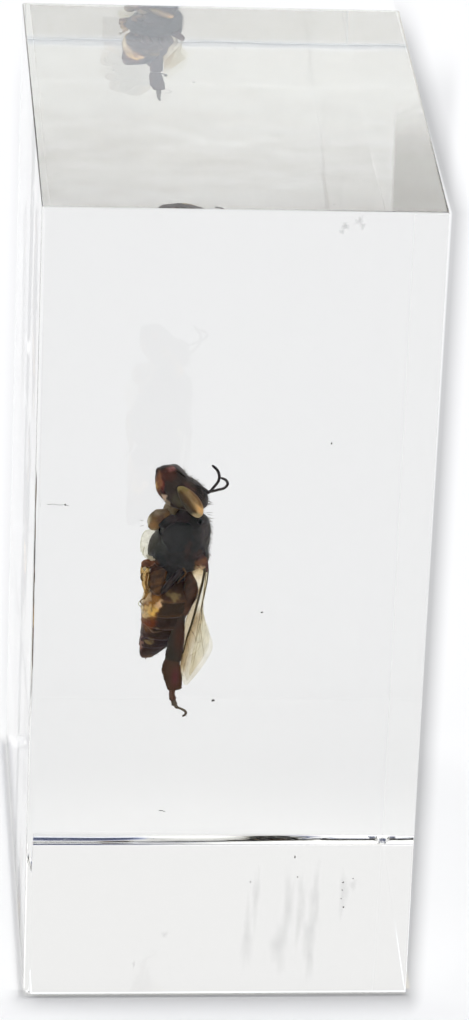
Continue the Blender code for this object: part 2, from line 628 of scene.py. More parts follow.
            # See-through chitin only where some of it is thin enough.
            mesh.materials.append(thin_material)
            clear = np.vstack(self.clear).ravel()
            for polygon in mesh.polygons:
                polygon.material_index = int(max(clear[v] for v in polygon.vertices) > 0.02)
        bm = bmesh.new()
        bm.from_mesh(mesh)
        bmesh.ops.recalc_face_normals(bm, faces=bm.faces)
        bm.to_mesh(mesh)
        bm.free()
        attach(piece, "root")
        return piece


# ---------------------------------------------------------------- bee materials
def cuticle_material(name, rough=0.42, gloss=0.18, pits=0.35, patch=0.55, see_through=False):
    """Chitin in resin: dark and dull where it is thick, amber where light comes through; the skin colour it reads also
    holds painted light and highlights.
    """
    material, n, shader, out = new_material(name)
    skin = n.add("ShaderNodeAttribute", attribute_name="skin").outputs["Color"]
    glow = n.add("ShaderNodeAttribute", attribute_name="glow").outputs["Color"]
    thin = n.add("ShaderNodeAttribute", attribute_name="thin").outputs["Fac"]
    where = n.add("ShaderNodeTexCoord").outputs["Object"]
    blotch = n.step(n.noise(where, 900.0, 4.0, 0.6), 0.3, 0.7)
    fine = n.step(n.noise(where, 3800.0, 3.0, 0.6), 0.3, 0.7)
    shade = n.mix(n.math("MULTIPLY", blotch, patch), (1, 1, 1, 1), (0.45, 0.40, 0.38, 1))
    shade = n.mix(n.math("MULTIPLY", fine, 0.35), shade, (0.55, 0.5, 0.5, 1), "MULTIPLY")
    n.tree.links.new(n.mix(1.0, skin, shade, "MULTIPLY"), shader.inputs["Base Color"])
    shader.inputs["Roughness"].default_value = rough
    shader.inputs["Specular IOR Level"].default_value = gloss
    bump = n.add("ShaderNodeBump", {"Height": fine, "Strength": pits, "Distance": 0.00004})
    n.tree.links.new(bump.outputs[0], shader.inputs["Normal"])
    through = n.add("ShaderNodeBsdfTranslucent", {"Color": n.mix(1.0, glow, shade, "MULTIPLY")})
    both = n.add("ShaderNodeMixShader", {0: thin, 1: shader.outputs[0], 2: through.outputs[0]})
    if see_through:
        clear = n.add("ShaderNodeAttribute", attribute_name="clear").outputs["Fac"]
        film = n.add("ShaderNodeBsdfTransparent", {"Color": n.mix(0.5, glow, shade, "MULTIPLY")})
        both = n.add("ShaderNodeMixShader", {0: clear, 1: both.outputs[0], 2: film.outputs[0]})
    n.tree.links.new(both.outputs[0], out.inputs["Surface"])
    return material


def eye_material():
    """The compound eye: thousands of tiny facets, brown, with a pale rim where it dried away from the resin; the light
    that gap catches is painted into the rim's colour."""
    material, n, shader, out = new_material("compound_eye")
    skin = n.add("ShaderNodeAttribute", attribute_name="skin").outputs["Color"]
    where = n.add("ShaderNodeTexCoord").outputs["Object"]
    cell = n.add("ShaderNodeTexVoronoi", {"Vector": where, "Scale": 22000.0}).outputs["Distance"]
    facet = n.step(cell, 0.2, 0.6)
    stain = n.step(n.noise(where, 1600.0, 3.0), 0.35, 0.7)
    colour = n.mix(n.math("MULTIPLY", facet, 0.16), skin, (0.05, 0.03, 0.02, 1))
    colour = n.mix(n.math("MULTIPLY", stain, 0.14), colour, (0.09, 0.05, 0.03, 1))
    n.tree.links.new(colour, shader.inputs["Base Color"])
    shader.inputs["Roughness"].default_value = 0.45
    shader.inputs["Specular IOR Level"].default_value = 0.06
    bump = n.add("ShaderNodeBump", {"Height": facet, "Strength": 0.4, "Distance": 0.00002})
    n.tree.links.new(bump.outputs[0], shader.inputs["Normal"])
    return material


def membrane_material():
    """Wing membrane: a clear, faintly brown film with tiny hairs on it."""
    material, n, shader, out = new_material("wing_membrane")
    where = n.add("ShaderNodeTexCoord").outputs["Object"]
    glow = n.add("ShaderNodeAttribute", attribute_name="glow").outputs["Color"]
    thin = n.add("ShaderNodeAttribute", attribute_name="thin").outputs["Fac"]
    dots = n.add("ShaderNodeTexVoronoi", {"Vector": where, "Scale": 9000.0}).outputs["Distance"]
    dot = n.step(dots, 0.05, 0.22, 0.92, 1.0)
    streak = n.step(n.noise(where, 1500.0, 3.0), 0.3, 0.75, 1.0, 0.955)
    tint = n.mix(1.0, glow, n.add("ShaderNodeCombineXYZ", {0: dot, 1: dot, 2: dot}).outputs[0], "MULTIPLY")
    tint = n.mix(1.0, tint, n.add("ShaderNodeCombineXYZ", {0: streak, 1: streak, 2: streak}).outputs[0], "MULTIPLY")
    n.tree.links.new(tint, shader.inputs["Base Color"])
    shader.inputs["Roughness"].default_value = 0.3
    shader.inputs["Specular IOR Level"].default_value = 0.15
    film = n.add("ShaderNodeBsdfTransparent", {"Color": tint})
    both = n.add("ShaderNodeMixShader", {0: thin, 1: shader.outputs[0], 2: film.outputs[0]})
    n.tree.links.new(both.outputs[0], out.inputs["Surface"])
    return material


def hair_material():
    material, n, shader, out = new_material("body_hair")
    skin = n.add("ShaderNodeAttribute", attribute_name="skin").outputs["Color"]
    where = n.add("ShaderNodeTexCoord").outputs["Object"]
    shade = n.step(n.noise(where, 2500.0, 2.0), 0.3, 0.7)
    n.tree.links.new(n.mix(n.math("MULTIPLY", shade, 0.5), skin, (0.10, 0.06, 0.03, 1)), shader.inputs["Base Color"])
    shader.inputs["Roughness"].default_value = 0.6
    shader.inputs["Specular IOR Level"].default_value = 0.1
    glow = n.add("ShaderNodeAttribute", attribute_name="glow").outputs["Color"]
    through = n.add("ShaderNodeBsdfTranslucent", {"Color": glow})
    both = n.add("ShaderNodeMixShader", {0: 0.5, 1: shader.outputs[0], 2: through.outputs[0]})
    n.tree.links.new(both.outputs[0], out.inputs["Surface"])
    return material


def film_material():
    """Pale, silvery air film caught between the insect and the resin; its pale colour is a painted highlight."""
    material, n, shader, out = new_material("air_film_painted_highlight")
    where = n.add("ShaderNodeTexCoord").outputs["Object"]
    skin = n.add("ShaderNodeAttribute", attribute_name="skin").outputs["Color"]
    shade = n.step(n.noise(where, 2200.0, 4.0), 0.35, 0.7)
    tone = n.mix(n.math("MULTIPLY", shade, 0.45), skin, (0.80, 0.80, 0.70, 1))
    n.tree.links.new(tone, shader.inputs["Base Color"])
    shader.inputs["Roughness"].default_value = 0.3
    through = n.add("ShaderNodeBsdfTranslucent", {"Color": tone})
    film = n.add("ShaderNodeBsdfTransparent", {"Color": (1, 1, 1, 1)})
    one = n.add("ShaderNodeMixShader", {0: 0.8, 1: shader.outputs[0], 2: through.outputs[0]})
    both = n.add("ShaderNodeMixShader", {0: n.math("MULTIPLY_ADD", shade, 0.35, 0.15), 1: one.outputs[0], 2: film.outputs[0]})
    n.tree.links.new(both.outputs[0], out.inputs["Surface"])
    return material


CUTICLE = cuticle_material("bee_cuticle")
LEG_CUTICLE = cuticle_material("leg_cuticle", rough=0.38, gloss=0.2, pits=0.25, patch=0.35)
THIN_LEG_CUTICLE = cuticle_material("thin_leg_cuticle", rough=0.38, gloss=0.2, pits=0.25, patch=0.35, see_through=True)
EYE = eye_material()
MEMBRANE = membrane_material()
HAIR = hair_material()
AIR_FILM_AND_GLINT = film_material()


def seen(r, g, b):
    """Skin colour of a dark surface that shows as r, g, b (0 to 255) through the resin."""
    c = np.array((r, g, b)) / 255
    linear = np.where(c <= 0.04045, c / 12.92, ((c + 0.055) / 1.055) ** 2.4)
    return tuple(np.clip((linear - 0.0145) / 0.34, 0.004, 0.95))


def lerp_colour(w, a, b):
    w = np.clip(np.asarray(w, float), 0, 1)[:, None]
    return np.asarray(a, float) * (1 - w) + np.asarray(b, float) * w


def near(points, centre, radii):
    """1 at the centre, falling smoothly to 0 at the radii (mm)."""
    d = np.linalg.norm((points - np.asarray(centre, float)) / np.asarray(radii, float), axis=1)
    return np.clip(1 - d, 0, 1) ** 2 * (3 - 2 * np.clip(1 - d, 0, 1))


MID = 1.5  # the bee's middle plane, mm


def drawing(points):
    """The u, v of points (mm): the inverse of P."""
    x, y, z = points[:, 0], points[:, 1], points[:, 2]
    a, b, c, d = 0.064949 + 0.000123 * y, 0.00266, 0.00029, -(0.072065 + 0.00012 * y)
    px, pz = x + 2.6120 - 0.0431 * y, z - 23.8698 + 0.3003 * y
    det = a * d - b * c
    return 180 + (px * d - b * pz) / det, 590 + (a * pz - c * px) / det


class MarksAndPaintedLight:
    """Soft oval areas of colour painted on the skin: the chitin's own marks, and painted light: highlights, and light
    shining through thin chitin.
    """

    def __init__(self, areas, wander=1.0, seed=50):
        self.areas, self.wander, self.seed = areas, wander, seed

    def weights(self, points):
        u, v = drawing(points)
        u = u + wobble(points, 0.55, self.seed) * self.wander
        v = v + wobble(points, 0.55, self.seed + 1) * self.wander
        rows = []
        for cu, cv, ru, rv, tilt, amount, _ in self.areas:
            t = math.radians(tilt)
            du, dv = u - cu, v - cv
            p = (du * math.cos(t) + dv * math.sin(t)) / ru
            q = (-du * math.sin(t) + dv * math.cos(t)) / rv
            w = np.clip((1.25 - np.hypot(p, q)) / 0.7, 0, 1)
            rows.append(w * w * (3 - 2 * w))
        return np.array(rows)

    def over(self, base):
        """The areas' colours painted over a base: a colour or a function of the points."""
        def paint(points):
            w = self.weights(points) * np.array([a[5] for a in self.areas])[:, None]
            c = base(points) if callable(base) else np.broadcast_to(np.asarray(base, float), (len(points), 3))
            for k, area in enumerate(self.areas):
                c = lerp_colour(w[k], c, area[6])
            return c

        return paint

    def clear(self, points):
        w = self.weights(points)
        amount = np.array([a[5] for a in self.areas])[:, None]
        return 1 - np.prod(1 - w * amount, axis=0)

    def tint(self, base):
        def paint(points):
            w = self.weights(points) ** 2
            total = w.sum(axis=0)
            colours = np.array([a[6] for a in self.areas])
            mixed = (w[:, :, None] * colours[:, None, :]).sum(axis=0) / np.maximum(total, 1e-6)[:, None]
            return lerp_colour(np.clip(total * 1.5, 0, 1), base, mixed)

        return paint


# ---------------------------------------------------------------- head
HEAD_O = P(206, 503, MID)
HEAD_A = np.array((-0.848, 0, 0.530))  # from the crown towards the mouth
HEAD_N = np.array((0.530, 0, 0.848))  # out of the face


def H(a, n, y=0.0):
    return HEAD_O + a * HEAD_A + n * HEAD_N + np.array((0, y, 0))


HEAD_MARKS_AND_PAINTED_LIGHT = MarksAndPaintedLight(
    [
        (180.0, 499.0, 9.0, 7.0, 20, 0.75, seen(62, 59, 48)),
        (168.0, 474.0, 9.0, 7.5, -10, 0.70, seen(66, 44, 39)),
        (189.5, 486.0, 7.0, 2.4, 35, 0.50, seen(68, 48, 44)),
        # painted highlight, pink
        (171.8, 468.4, 4.6, 3.0, 0, 0.55, seen(126, 84, 80)),
        (159.6, 480.5, 3.0, 10.5, -4, 0.85, seen(98, 67, 48)),
        (163.2, 485.0, 1.7, 6.5, -8, 0.55, seen(90, 46, 42)),
        (156.6, 486.0, 1.3, 5.5, -6, 0.85, seen(152, 120, 70)),
        (159.0, 490.2, 1.9, 4.4, -20, 0.80, seen(74, 46, 33)),
        # painted highlight, cream
        (164.6, 495.6, 1.9, 4.4, -34, 0.95, (0.95, 0.70, 0.50)),
        (167.6, 501.5, 3.2, 3.6, -20, 0.80, (0.46, 0.36, 0.24)),
    ],
    0.8,
    51,
)


def make_head():
    # Along the head: middle and half-height in profile, half-width across.
    stations = [
        (0.05, 0.00, 0.258, 0.60),
        (0.25, 0.03, 0.516, 1.00),
        (0.42, 0.05, 0.707, 1.22),
        (0.74, 0.00, 0.881, 1.46),
        (1.22, -0.055, 1.049, 1.60),
        (1.64, -0.115, 1.111, 1.62),
        (2.13, -0.13, 1.169, 1.50),
        (2.60, 0.025, 1.160, 1.28),
        (3.00, 0.11, 1.119, 1.05),
        (3.35, 0.19, 0.964, 0.88),
        (3.67, 0.27, 0.687, 0.70),
        (3.88, 0.32, 0.430, 0.52),
        (4.00, 0.35, 0.200, 0.32),
    ]
    path = smooth([(*H(a, c), *(HEAD_N * h), w) for a, c, h, w in stations], 64)
    base = varied(seen(42, 39, 38), seen(50, 45, 42), 66, 0.8)
    marks_and_painted_light = HEAD_MARKS_AND_PAINTED_LIGHT.over(base)

    head = Shape().loft(path, sides=120, ends=(0.35, 0.5), rough=0.022, seed=3, skin=marks_and_painted_light, glow=(0.6, 0.25, 0.15), thin=0.06)
    # Shield above the mouth, and the upper lip below it.
    clypeus = smooth([(*H(a, n), w, d) for a, n, w, d in
                      ((2.25, 1.00, 0.08, 0.55), (2.7, 1.10, 0.12, 0.78), (3.1, 1.12, 0.13, 0.76), (3.42, 0.98, 0.09, 0.55))], 16)
    head.tube(clypeus, sides=28, skin=marks_and_painted_light, thin=0.05)
    lip = smooth([(*H(a, n), w, d) for a, n, w, d in
                  ((3.52, 0.92, 0.07, 0.42), (3.74, 0.76, 0.08, 0.44), (3.94, 0.52, 0.05, 0.34))], 10)
    head.tube(lip, sides=24, skin=marks_and_painted_light, thin=0.05)
    for side in (-1, 1):
        head.blob(H(1.75, 0.90, 0.26 * side), (0.14, 0.14, 0.14), skin=base)
    head.build("head_capsule", CUTICLE)

    simple_eyes = Shape()
    for a, n, y in ((0.40, 0.74, 0), (0.20, 0.50, -0.22), (0.20, 0.50, 0.22)):
        simple_eyes.blob(H(a, n - 0.09, y), (0.085, 0.085, 0.085), skin=(0.03, 0.02, 0.016), glow=(0.6, 0.35, 0.15), thin=0.1)
    simple_eyes.build("ocelli", CUTICLE)

    # Compound eyes: long ovals on the sides of the head.
    long_way = np.array((-0.576, 0, 0.817))
    wide_way = np.array((0.817, 0, 0.576))

    def ramp(x, low, high):
        w = np.clip((x - low) / (high - low), 0, 1)
        return w * w * (3 - 2 * w)

    for side, name, u, v, y in ((-1, "compound_eye_left", 190.1, 500.1, -0.10), (1, "compound_eye_right", 187.0, 492.0, 3.06)):
        centre = P(u, v, y)
        axes = np.array((long_way, wide_way, (0, 1, 0)))
        eye = Shape()
        bm = bmesh.new()
        bmesh.ops.create_icosphere(bm, subdivisions=6, radius=1)
        p = np.array([v_.co[:] for v_ in bm.verts])
        faces = [[v_.index for v_ in f.verts] for f in bm.faces]
        bm.free()
        # kidney shape, a little hollow towards the face
        p[:, 1] += 0.16 * (1 - p[:, 0] ** 2) - 0.08
        p[:, 1] *= 1 - 0.12 * p[:, 0]
        a = p[:, 0] + wobble(p, 1.0, 77) * 0.10
        b = p[:, 1] + wobble(p, 0.8, 78) * 0.07
        colour = np.tile((0.096, 0.050, 0.018), (len(p), 1)).astype(float)
        colour = lerp_colour(ramp(-b, 0.12, 0.55), colour, (0.076, 0.060, 0.036))
        colour = lerp_colour(ramp(-b, 0.52, 0.74) * ramp(-a, -0.6, 0.3), colour, (0.074, 0.068, 0.042))
        # painted light: the pale and orange rim set in these four lines
        colour = lerp_colour(ramp(b, -0.22, 0.50), colour, (0.36, 0.24, 0.105))
        colour = lerp_colour(ramp(b, -0.10, 0.46) * ramp(-a, -0.20, 0.40), colour, (0.76, 0.48, 0.20))
        colour = lerp_colour(ramp(-a, 0.10, 0.60) * ramp(b, -0.22, 0.38), colour, (0.92, 0.54, 0.21))
        colour = lerp_colour(ramp(-a, 0.52, 0.86) * ramp(-b, -0.50, 0.05), colour, (0.62, 0.47, 0.25))
        colour = lerp_colour(ramp(a, 0.50, 0.85) * ramp(b, -0.4, 0.1), colour, (0.25, 0.19, 0.066))
        colour = lerp_colour(ramp(a, 0.74, 0.95), colour, (0.30, 0.23, 0.080))
        colour = lerp_colour(ramp(-b, 0.74, 0.97), colour, (0.050, 0.048, 0.034))
        colour = lerp_colour(ramp(b, 0.52, 0.86) * ramp(a, -0.98, -0.35), colour, (0.24, 0.135, 0.055))
        colour[p[:, 2] * side < -0.05] = (0.08, 0.05, 0.03)
        points = (p * np.array((1.30, 0.55, 0.50))) @ axes + centre
        eye.add(points, faces, skin=colour)
        eye.build(name, EYE)

    # Jaws, crossed in front of the mouth.
    for side, name in ((-1, "mandible_left"), (1, "mandible_right")):
        jaw = Shape()
        jaw.tube(
            smooth([(*H(a, n, y * side), w, d) for a, n, y, w, d in
                    ((2.60, -0.62, 0.80, 0.24, 0.16), (2.95, -0.60, 0.82, 0.24, 0.15),
                     (3.30, -0.40, 0.66, 0.20, 0.12), (3.62, -0.08, 0.38, 0.20, 0.10),
                     (3.86, 0.22, 0.10 + 0.05 * side, 0.16, 0.07))], 26),
            sides=24, rough=0.04, seed=8, skin=marks_and_painted_light, glow=(0.7, 0.32, 0.2), thin=0.08)
        jaw.build(name, LEG_CUTICLE)

    # Tongue and its sheath, folded back under the head.
    tongue = Shape()
    for y, w in ((-0.16, 0.10), (0.16, 0.10), (0.0, 0.12)):
        tongue.tube(
            smooth([(*H(a, n, y), w * k, w * k * 1.2) for a, n, k in
                    ((3.52, -0.36, 1.0), (3.28, -0.68, 1.1), (2.94, -0.90, 1.2), (2.58, -1.02, 1.2), (2.25, -1.12, 1.0), (1.95, -1.16, 0.6))], 40),
            sides=16, skin=marks_and_painted_light, glow=(0.9, 0.6, 0.35), thin=0.15)
    tongue.build("folded_tongue", LEG_CUTICLE)

    # Antennae: a long first joint along the face, an elbow, then ten short joints.
    def antenna(name, start, elbow, tip, radius):
        feeler = Shape()
        middle = (np.array(start) + elbow) / 2 + HEAD_N * 0.05
        scape = smooth([(*start, radius * 0.9, radius * 0.9), (*middle, radius * 1.05, radius * 1.05), (*elbow, radius * 1.1, radius * 1.1)], 14)
        dark = dict(skin=(0.050, 0.044, 0.045), glow=(0.35, 0.2, 0.15), thin=0.10)
        feeler.tube(scape, sides=14, **dark)
        rings = smooth([(*q, 0, 0) for q in [elbow] + tip], 131)
        s = np.linspace(0, 11, 131)
        step = np.abs((s % 1) - 0.5) * 2
        r = radius * (1.04 - 0.16 * step**6) * np.interp(s, (0, 0.9, 1.6, 10, 11), (0.85, 0.75, 1.0, 0.98, 0.8))
        rings[:, 3] = r
        rings[:, 4] = r
        feeler.tube(rings, sides=14, **dark)
        feeler.build(name, LEG_CUTICLE)

    antenna(
        "antenna_left", P(196, 484, 1.2), P(208.3, 491.4, 0.95),
        [P(212.5, 490.0, 0.85), P(217.5, 488.7, 0.75), P(223.8, 486.9, 0.7), P(227.2, 483.2, 0.75), P(225.6, 479.2, 0.8), P(220.9, 476.9, 0.85)], 0.092)
    antenna(
        "antenna_right", P(197, 485, 1.8), P(208.3, 491.0, 2.0),
        [P(211.6, 488.2, 2.1), P(215, 484.4, 2.15), P(218.2, 479.8, 2.2), P(218.9, 474.6, 2.2), P(216.9, 469.2, 2.1), P(212.4, 464.9, 2.0)], 0.094)


# ---------------------------------------------------------------- thorax
THORAX_MARKS_AND_PAINTED_LIGHT = MarksAndPaintedLight(
    [
        (178.0, 516.0, 14.0, 6.0, 0, 0.80, seen(56, 50, 50)),
        (205.0, 532.0, 4.0, 14.0, 0, 0.75, seen(62, 58, 57)),
        (200.5, 560.5, 7.0, 4.0, -15, 0.85, seen(90, 66, 50)),
        (199.0, 552.5, 7.0, 4.5, -15, 0.80, seen(62, 53, 51)),
        # painted light: a bright amber glow at the wing root
        (199.2, 566.2, 4.8, 2.6, -10, 0.95, (0.80, 0.56, 0.32)),
        (160.0, 546.0, 8.0, 8.0, 0, 0.60, seen(49, 51, 49)),
        (154.0, 562.5, 6.0, 3.5, -10, 0.80, seen(74, 53, 44)),
        (188.0, 548.0, 3.0, 11.0, 8, 0.50, seen(58, 49, 46)),
        (167.0, 511.0, 5.0, 3.0, -20, 0.75, seen(84, 72, 54)),
    ],
    1.0,
    53,
)
LOBE_MARKS_AND_PAINTED_LIGHT = MarksAndPaintedLight(
    [
        (160.0, 510.0, 7.5, 3.2, -22, 0.90, (0.33, 0.26, 0.18)),
        (162.0, 518.5, 4.2, 6.5, 0, 0.80, seen(66, 53, 46)),
        (149.4, 516.0, 2.4, 5.0, 15, 0.92, (0.46, 0.38, 0.22)),
        (153.6, 523.0, 3.6, 5.0, 15, 0.92, (0.34, 0.175, 0.060)),
        (158.6, 517.0, 3.0, 3.6, 10, 0.60, seen(76, 58, 46)),
        (152.5, 512.6, 4.4, 1.5, -32, 0.85, seen(74, 66, 50)),
        (160.5, 509.6, 4.5, 1.3, -28, 0.75, seen(86, 78, 62)),
        # painted highlights: cream along the left rim, and a pale patch below
        (148.6, 520.5, 1.3, 5.0, 0, 0.90, (0.80, 0.74, 0.52)),
        (152.0, 528.0, 4.0, 1.4, 0, 0.60, (0.62, 0.50, 0.28)),
    ],
    0.8,
    54,
)


def make_thorax():
    rows = [
        (508, 184.0, 0.50, 0.60),
        (512, 184.0, 1.08, 1.10),
        (518, 184.2, 1.44, 1.50),
        (525, 185.2, 1.60, 1.78),
        (533, 184.6, 1.65, 1.92),
        (541, 181.0, 1.87, 1.95),
        (549, 178.2, 1.98, 1.86),
        (556, 176.8, 1.86, 1.66),
        (563, 176.0, 1.56, 1.38),
        (569, 177.0, 1.15, 1.05),
        (575, 179.5, 0.80, 0.72),
        (580, 181.0, 0.50, 0.45),
    ]
    path = smooth([(*P(u, v, MID), h, w) for v, u, h, w in rows], 80)
    marks_and_painted_light = THORAX_MARKS_AND_PAINTED_LIGHT.over(seen(43, 43, 43))

    body = Shape().tube(path, sides=120, rough=0.022, seed=12, skin=marks_and_painted_light, glow=(0.8, 0.42, 0.18), thin=0.03)
    body.build("thorax", CUTICLE)

    plates = Shape()
    # Collar, shield lobes and the rounded scutellum across the back.
    plates.tube(
        smooth([(*P(200.5, 520, MID + y), 0.20, 0.22) for y in (-1.15, -0.6, 0, 0.6, 1.15)], 20), sides=16, ref=(0, 0, 1),
        skin=marks_and_painted_light)
    plates.tube(
        smooth([(*P(201.5 + 2.2 * math.cos(y), 552.0, MID + y), 0.30 * math.cos(y * 0.75), 0.34 * math.cos(y * 0.75)) for y in (-1.1, -0.7, -0.35, 0, 0.35, 0.7, 1.1)], 26),
        sides=20, ref=(0, 0, 1), skin=marks_and_painted_light, glow=(0.7, 0.3, 0.1), thin=0.05)
    for side in (-1, 1):
        # Wing-base scales and the side plates under them.
        plates.blob(P(197.5, 549 - side, MID + 1.58 * side), (0.30, 0.16, 0.34), rough=0.05, seed=4, skin=marks_and_painted_light, glow=(0.8, 0.4, 0.15), thin=0.1)
        plates.blob(P(180, 534 - 3 * side, MID + 1.42 * side), (1.15, 0.62, 1.25), rough=0.05, seed=6, level=4, skin=marks_and_painted_light)
        plates.blob(P(165, 551.5 - 3 * side, MID + 0.95 * side), (0.92, 0.75, 0.74), rough=0.05, seed=9, level=4, skin=marks_and_painted_light)
        plates.blob(P(169, 520, MID + 0.70 * side), (0.88, 0.60, 0.50), rough=0.06, seed=10, level=4, skin=marks_and_painted_light)
        plates.blob(P(153.5, 561.5, MID + 0.35 + 1.05 * side), (0.55, 0.40, 0.42), rough=0.06, seed=11, level=4, skin=marks_and_painted_light)
    plates.build("thorax_plates", CUTICLE)

    def neck_skin(p):
        u, v = drawing(p)
        return lerp_colour((u - 168.5) / 8.0, (0.36, 0.28, 0.17), seen(66, 60, 47))

    neck = Shape().tube(
        smooth([(*P(u, v, MID), r, r * 1.1) for u, v, r in ((184, 496, 0.42), (176, 502, 0.50), (171.5, 507.5, 0.52), (171, 514, 0.6))], 14),
        sides=48, rough=0.05, seed=17, skin=neck_skin, glow=(0.9, 0.7, 0.45), thin=0.15)
    neck.build("neck_membrane", CUTICLE)


# ---------------------------------------------------------------- abdomen
# Left and right outline in profile, and half-depth.
ABDOMEN = [
    (176.5, 573.0, 187.5, 573.0, 0.40),
    (165.0, 577.5, 191.0, 577.0, 0.95),
    (152.0, 583.0, 194.6, 583.5, 1.55),
    (144.0, 591.0, 196.4, 592.0, 1.90),
    (141.2, 601.0, 191.8, 603.0, 2.00),
    (141.0, 611.0, 186.4, 613.5, 1.95),
    (141.3, 620.0, 183.2, 623.0, 1.80),
    (140.4, 629.0, 178.6, 631.0, 1.55),
    (139.1, 638.0, 173.6, 637.6, 1.25),
    (138.9, 646.0, 168.6, 642.6, 0.92),
    (139.4, 651.8, 163.2, 646.6, 0.60),
    (141.2, 655.2, 156.8, 651.4, 0.30),
]
ABDOMEN_MARKS_AND_PAINTED_LIGHT = MarksAndPaintedLight(
    [
        (147.0, 614.0, 9.0, 16.0, 0, 0.75, seen(92, 62, 38)),
        (153.0, 604.0, 8.0, 12.0, 20, 0.85, seen(118, 82, 42)),
        # painted light: the bright amber and cream areas in the next ten rows stand for light shining through thin
        # chitin at the belly
        (146.0, 594.5, 6.0, 6.5, 0, 0.95, (0.78, 0.56, 0.30)),
        (142.8, 591.5, 2.6, 8.0, 0, 0.95, (0.95, 0.78, 0.50)),
        (152.0, 599.0, 2.0, 1.6, 30, 0.60, (0.30, 0.19, 0.07)),
        (148.2, 605.5, 4.6, 3.2, -25, 0.90, (0.86, 0.58, 0.22)),
        (149.4, 611.2, 4.8, 3.4, 15, 1.0, (1.0, 0.62, 0.17)),
        (145.2, 612.5, 2.8, 3.8, 0, 0.95, (0.84, 0.60, 0.27)),
        (151.6, 606.4, 0.9, 4.4, 32, 0.55, (0.30, 0.18, 0.06)),
        (158.3, 602.2, 2.4, 5.6, 30, 1.0, (1.0, 0.66, 0.34)),
        (154.4, 608.2, 2.7, 5.4, 32, 1.0, (1.0, 0.62, 0.14)),
        (141.8, 604.0, 1.8, 9.0, 0, 0.90, (0.90, 0.74, 0.44)),
        (150.0, 621.0, 7.0, 4.0, 8, 0.75, seen(84, 46, 34)),
        (174.5, 594.6, 6.6, 4.0, 22, 0.62, seen(112, 98, 66)),
        (177.5, 597.4, 3.4, 2.4, 35, 0.50, seen(104, 84, 56)),
        (170.0, 591.2, 3.0, 2.0, 20, 0.50, seen(96, 84, 60)),
        (167.0, 589.6, 5.5, 3.2, 25, 0.60, seen(80, 66, 48)),
        (147.0, 640.0, 4.2, 2.8, 20, 0.60, seen(112, 94, 62)),
        (150.5, 637.6, 3.0, 1.6, 30, 0.45, seen(92, 80, 60)),
        (152.6, 628.0, 8.0, 1.0, 14, 0.55, seen(96, 80, 64)),
        (140.4, 641.5, 1.4, 9.0, 0, 0.75, seen(108, 78, 68)),
        (147.0, 655.0, 8.5, 2.4, -10, 0.80, seen(78, 56, 38)),
        (193.5, 592.0, 3.6, 10.0, 10, 0.70, seen(74, 57, 51)),
        (188.0, 603.0, 4.0, 5.0, 20, 0.60, seen(66, 50, 38)),
    ],
    1.1,
    56,
)


def make_abdomen():
    rows = []
    for lu, lv, ru, rv, depth in ABDOMEN:
        a, b = P(lu, lv, MID), P(ru, rv, MID)
        rows.append((*((a + b) / 2), *((b - a) / 2), depth))
    axis = smooth(rows, 240)
    level = P(180, np.array((574, 593, 607, 620, 631.5, 641, 654.0)), MID)[:, 2]
    level[-1] = axis[-1, 2]
    cuts = [int(np.argmin(np.abs(axis[:, 2] - z))) for z in level]
    # Six rings, each a shell whose hind rim lies over the next one.
    for k in range(6):
        i0, i1 = cuts[k], cuts[k + 1]
        ring = axis[max(0, i0 - 6):i1 + 1].copy()
        s = np.linspace(0, 1, len(ring))
        swell = 0.955 + 0.045 * np.sin(s * math.pi * 0.62)
        if k < 5:
            swell *= 1 + 0.022 * np.clip((s - 0.80) / 0.10, 0, 1) * np.clip((1.03 - s) / 0.05, 0, 1)
        ring[:, 3:] *= swell[:, None]
        ring = np.vstack([ring[:-1:2], ring[-1:]])
        rim_z = axis[i1, 2]

        def under(p, k=k, rim_z=rim_z):
            rim = np.clip((rim_z + 0.26 - p[:, 2]) / 0.14, 0, 1)
            base = seen(*[(54, 43, 37), (48, 41, 35), (45, 38, 35), (42, 36, 34), (41, 35, 36), (46, 36, 33)][k])
            edge = seen(*[(70, 54, 42), (60, 48, 39), (56, 46, 40), (52, 43, 40), (50, 41, 40), (58, 43, 35)][k])
            return lerp_colour(rim, base, edge)

        Shape().loft(ring, sides=140, ends=(0.25, 0.25), rough=0.016, seed=20 + k, skin=ABDOMEN_MARKS_AND_PAINTED_LIGHT.over(under),
                     glow=(0.8, 0.55, 0.28), thin=0.05).build(
            f"abdomen_ring_{k + 1}", CUTICLE)

    tip = Shape()
    tip.blob(P(147.6, 652.4, MID), (0.38, 0.30, 0.20), rough=0.08, seed=2, skin=seen(74, 54, 38), glow=(0.7, 0.3, 0.15), thin=0.1)
    tip.tube(smooth([(*P(u, v, MID), r, r) for u, v, r in ((146.5, 653.5, 0.09), (145.6, 655.5, 0.05), (145.0, 657.0, 0.02))], 8), sides=8,
             skin=seen(80, 56, 40), glow=(0.6, 0.3, 0.15), thin=0.1)
    tip.build("abdomen_tip", CUTICLE)
    waist = Shape().tube(
        smooth([(*P(u, v, MID), r, r * 1.15) for u, v, r in ((181, 570, 0.62), (182, 576, 0.36), (180, 581, 0.46))], 12),
        sides=24, skin=seen(62, 50, 43), glow=(0.6, 0.3, 0.12), thin=0.1)
    waist.build("waist", CUTICLE)


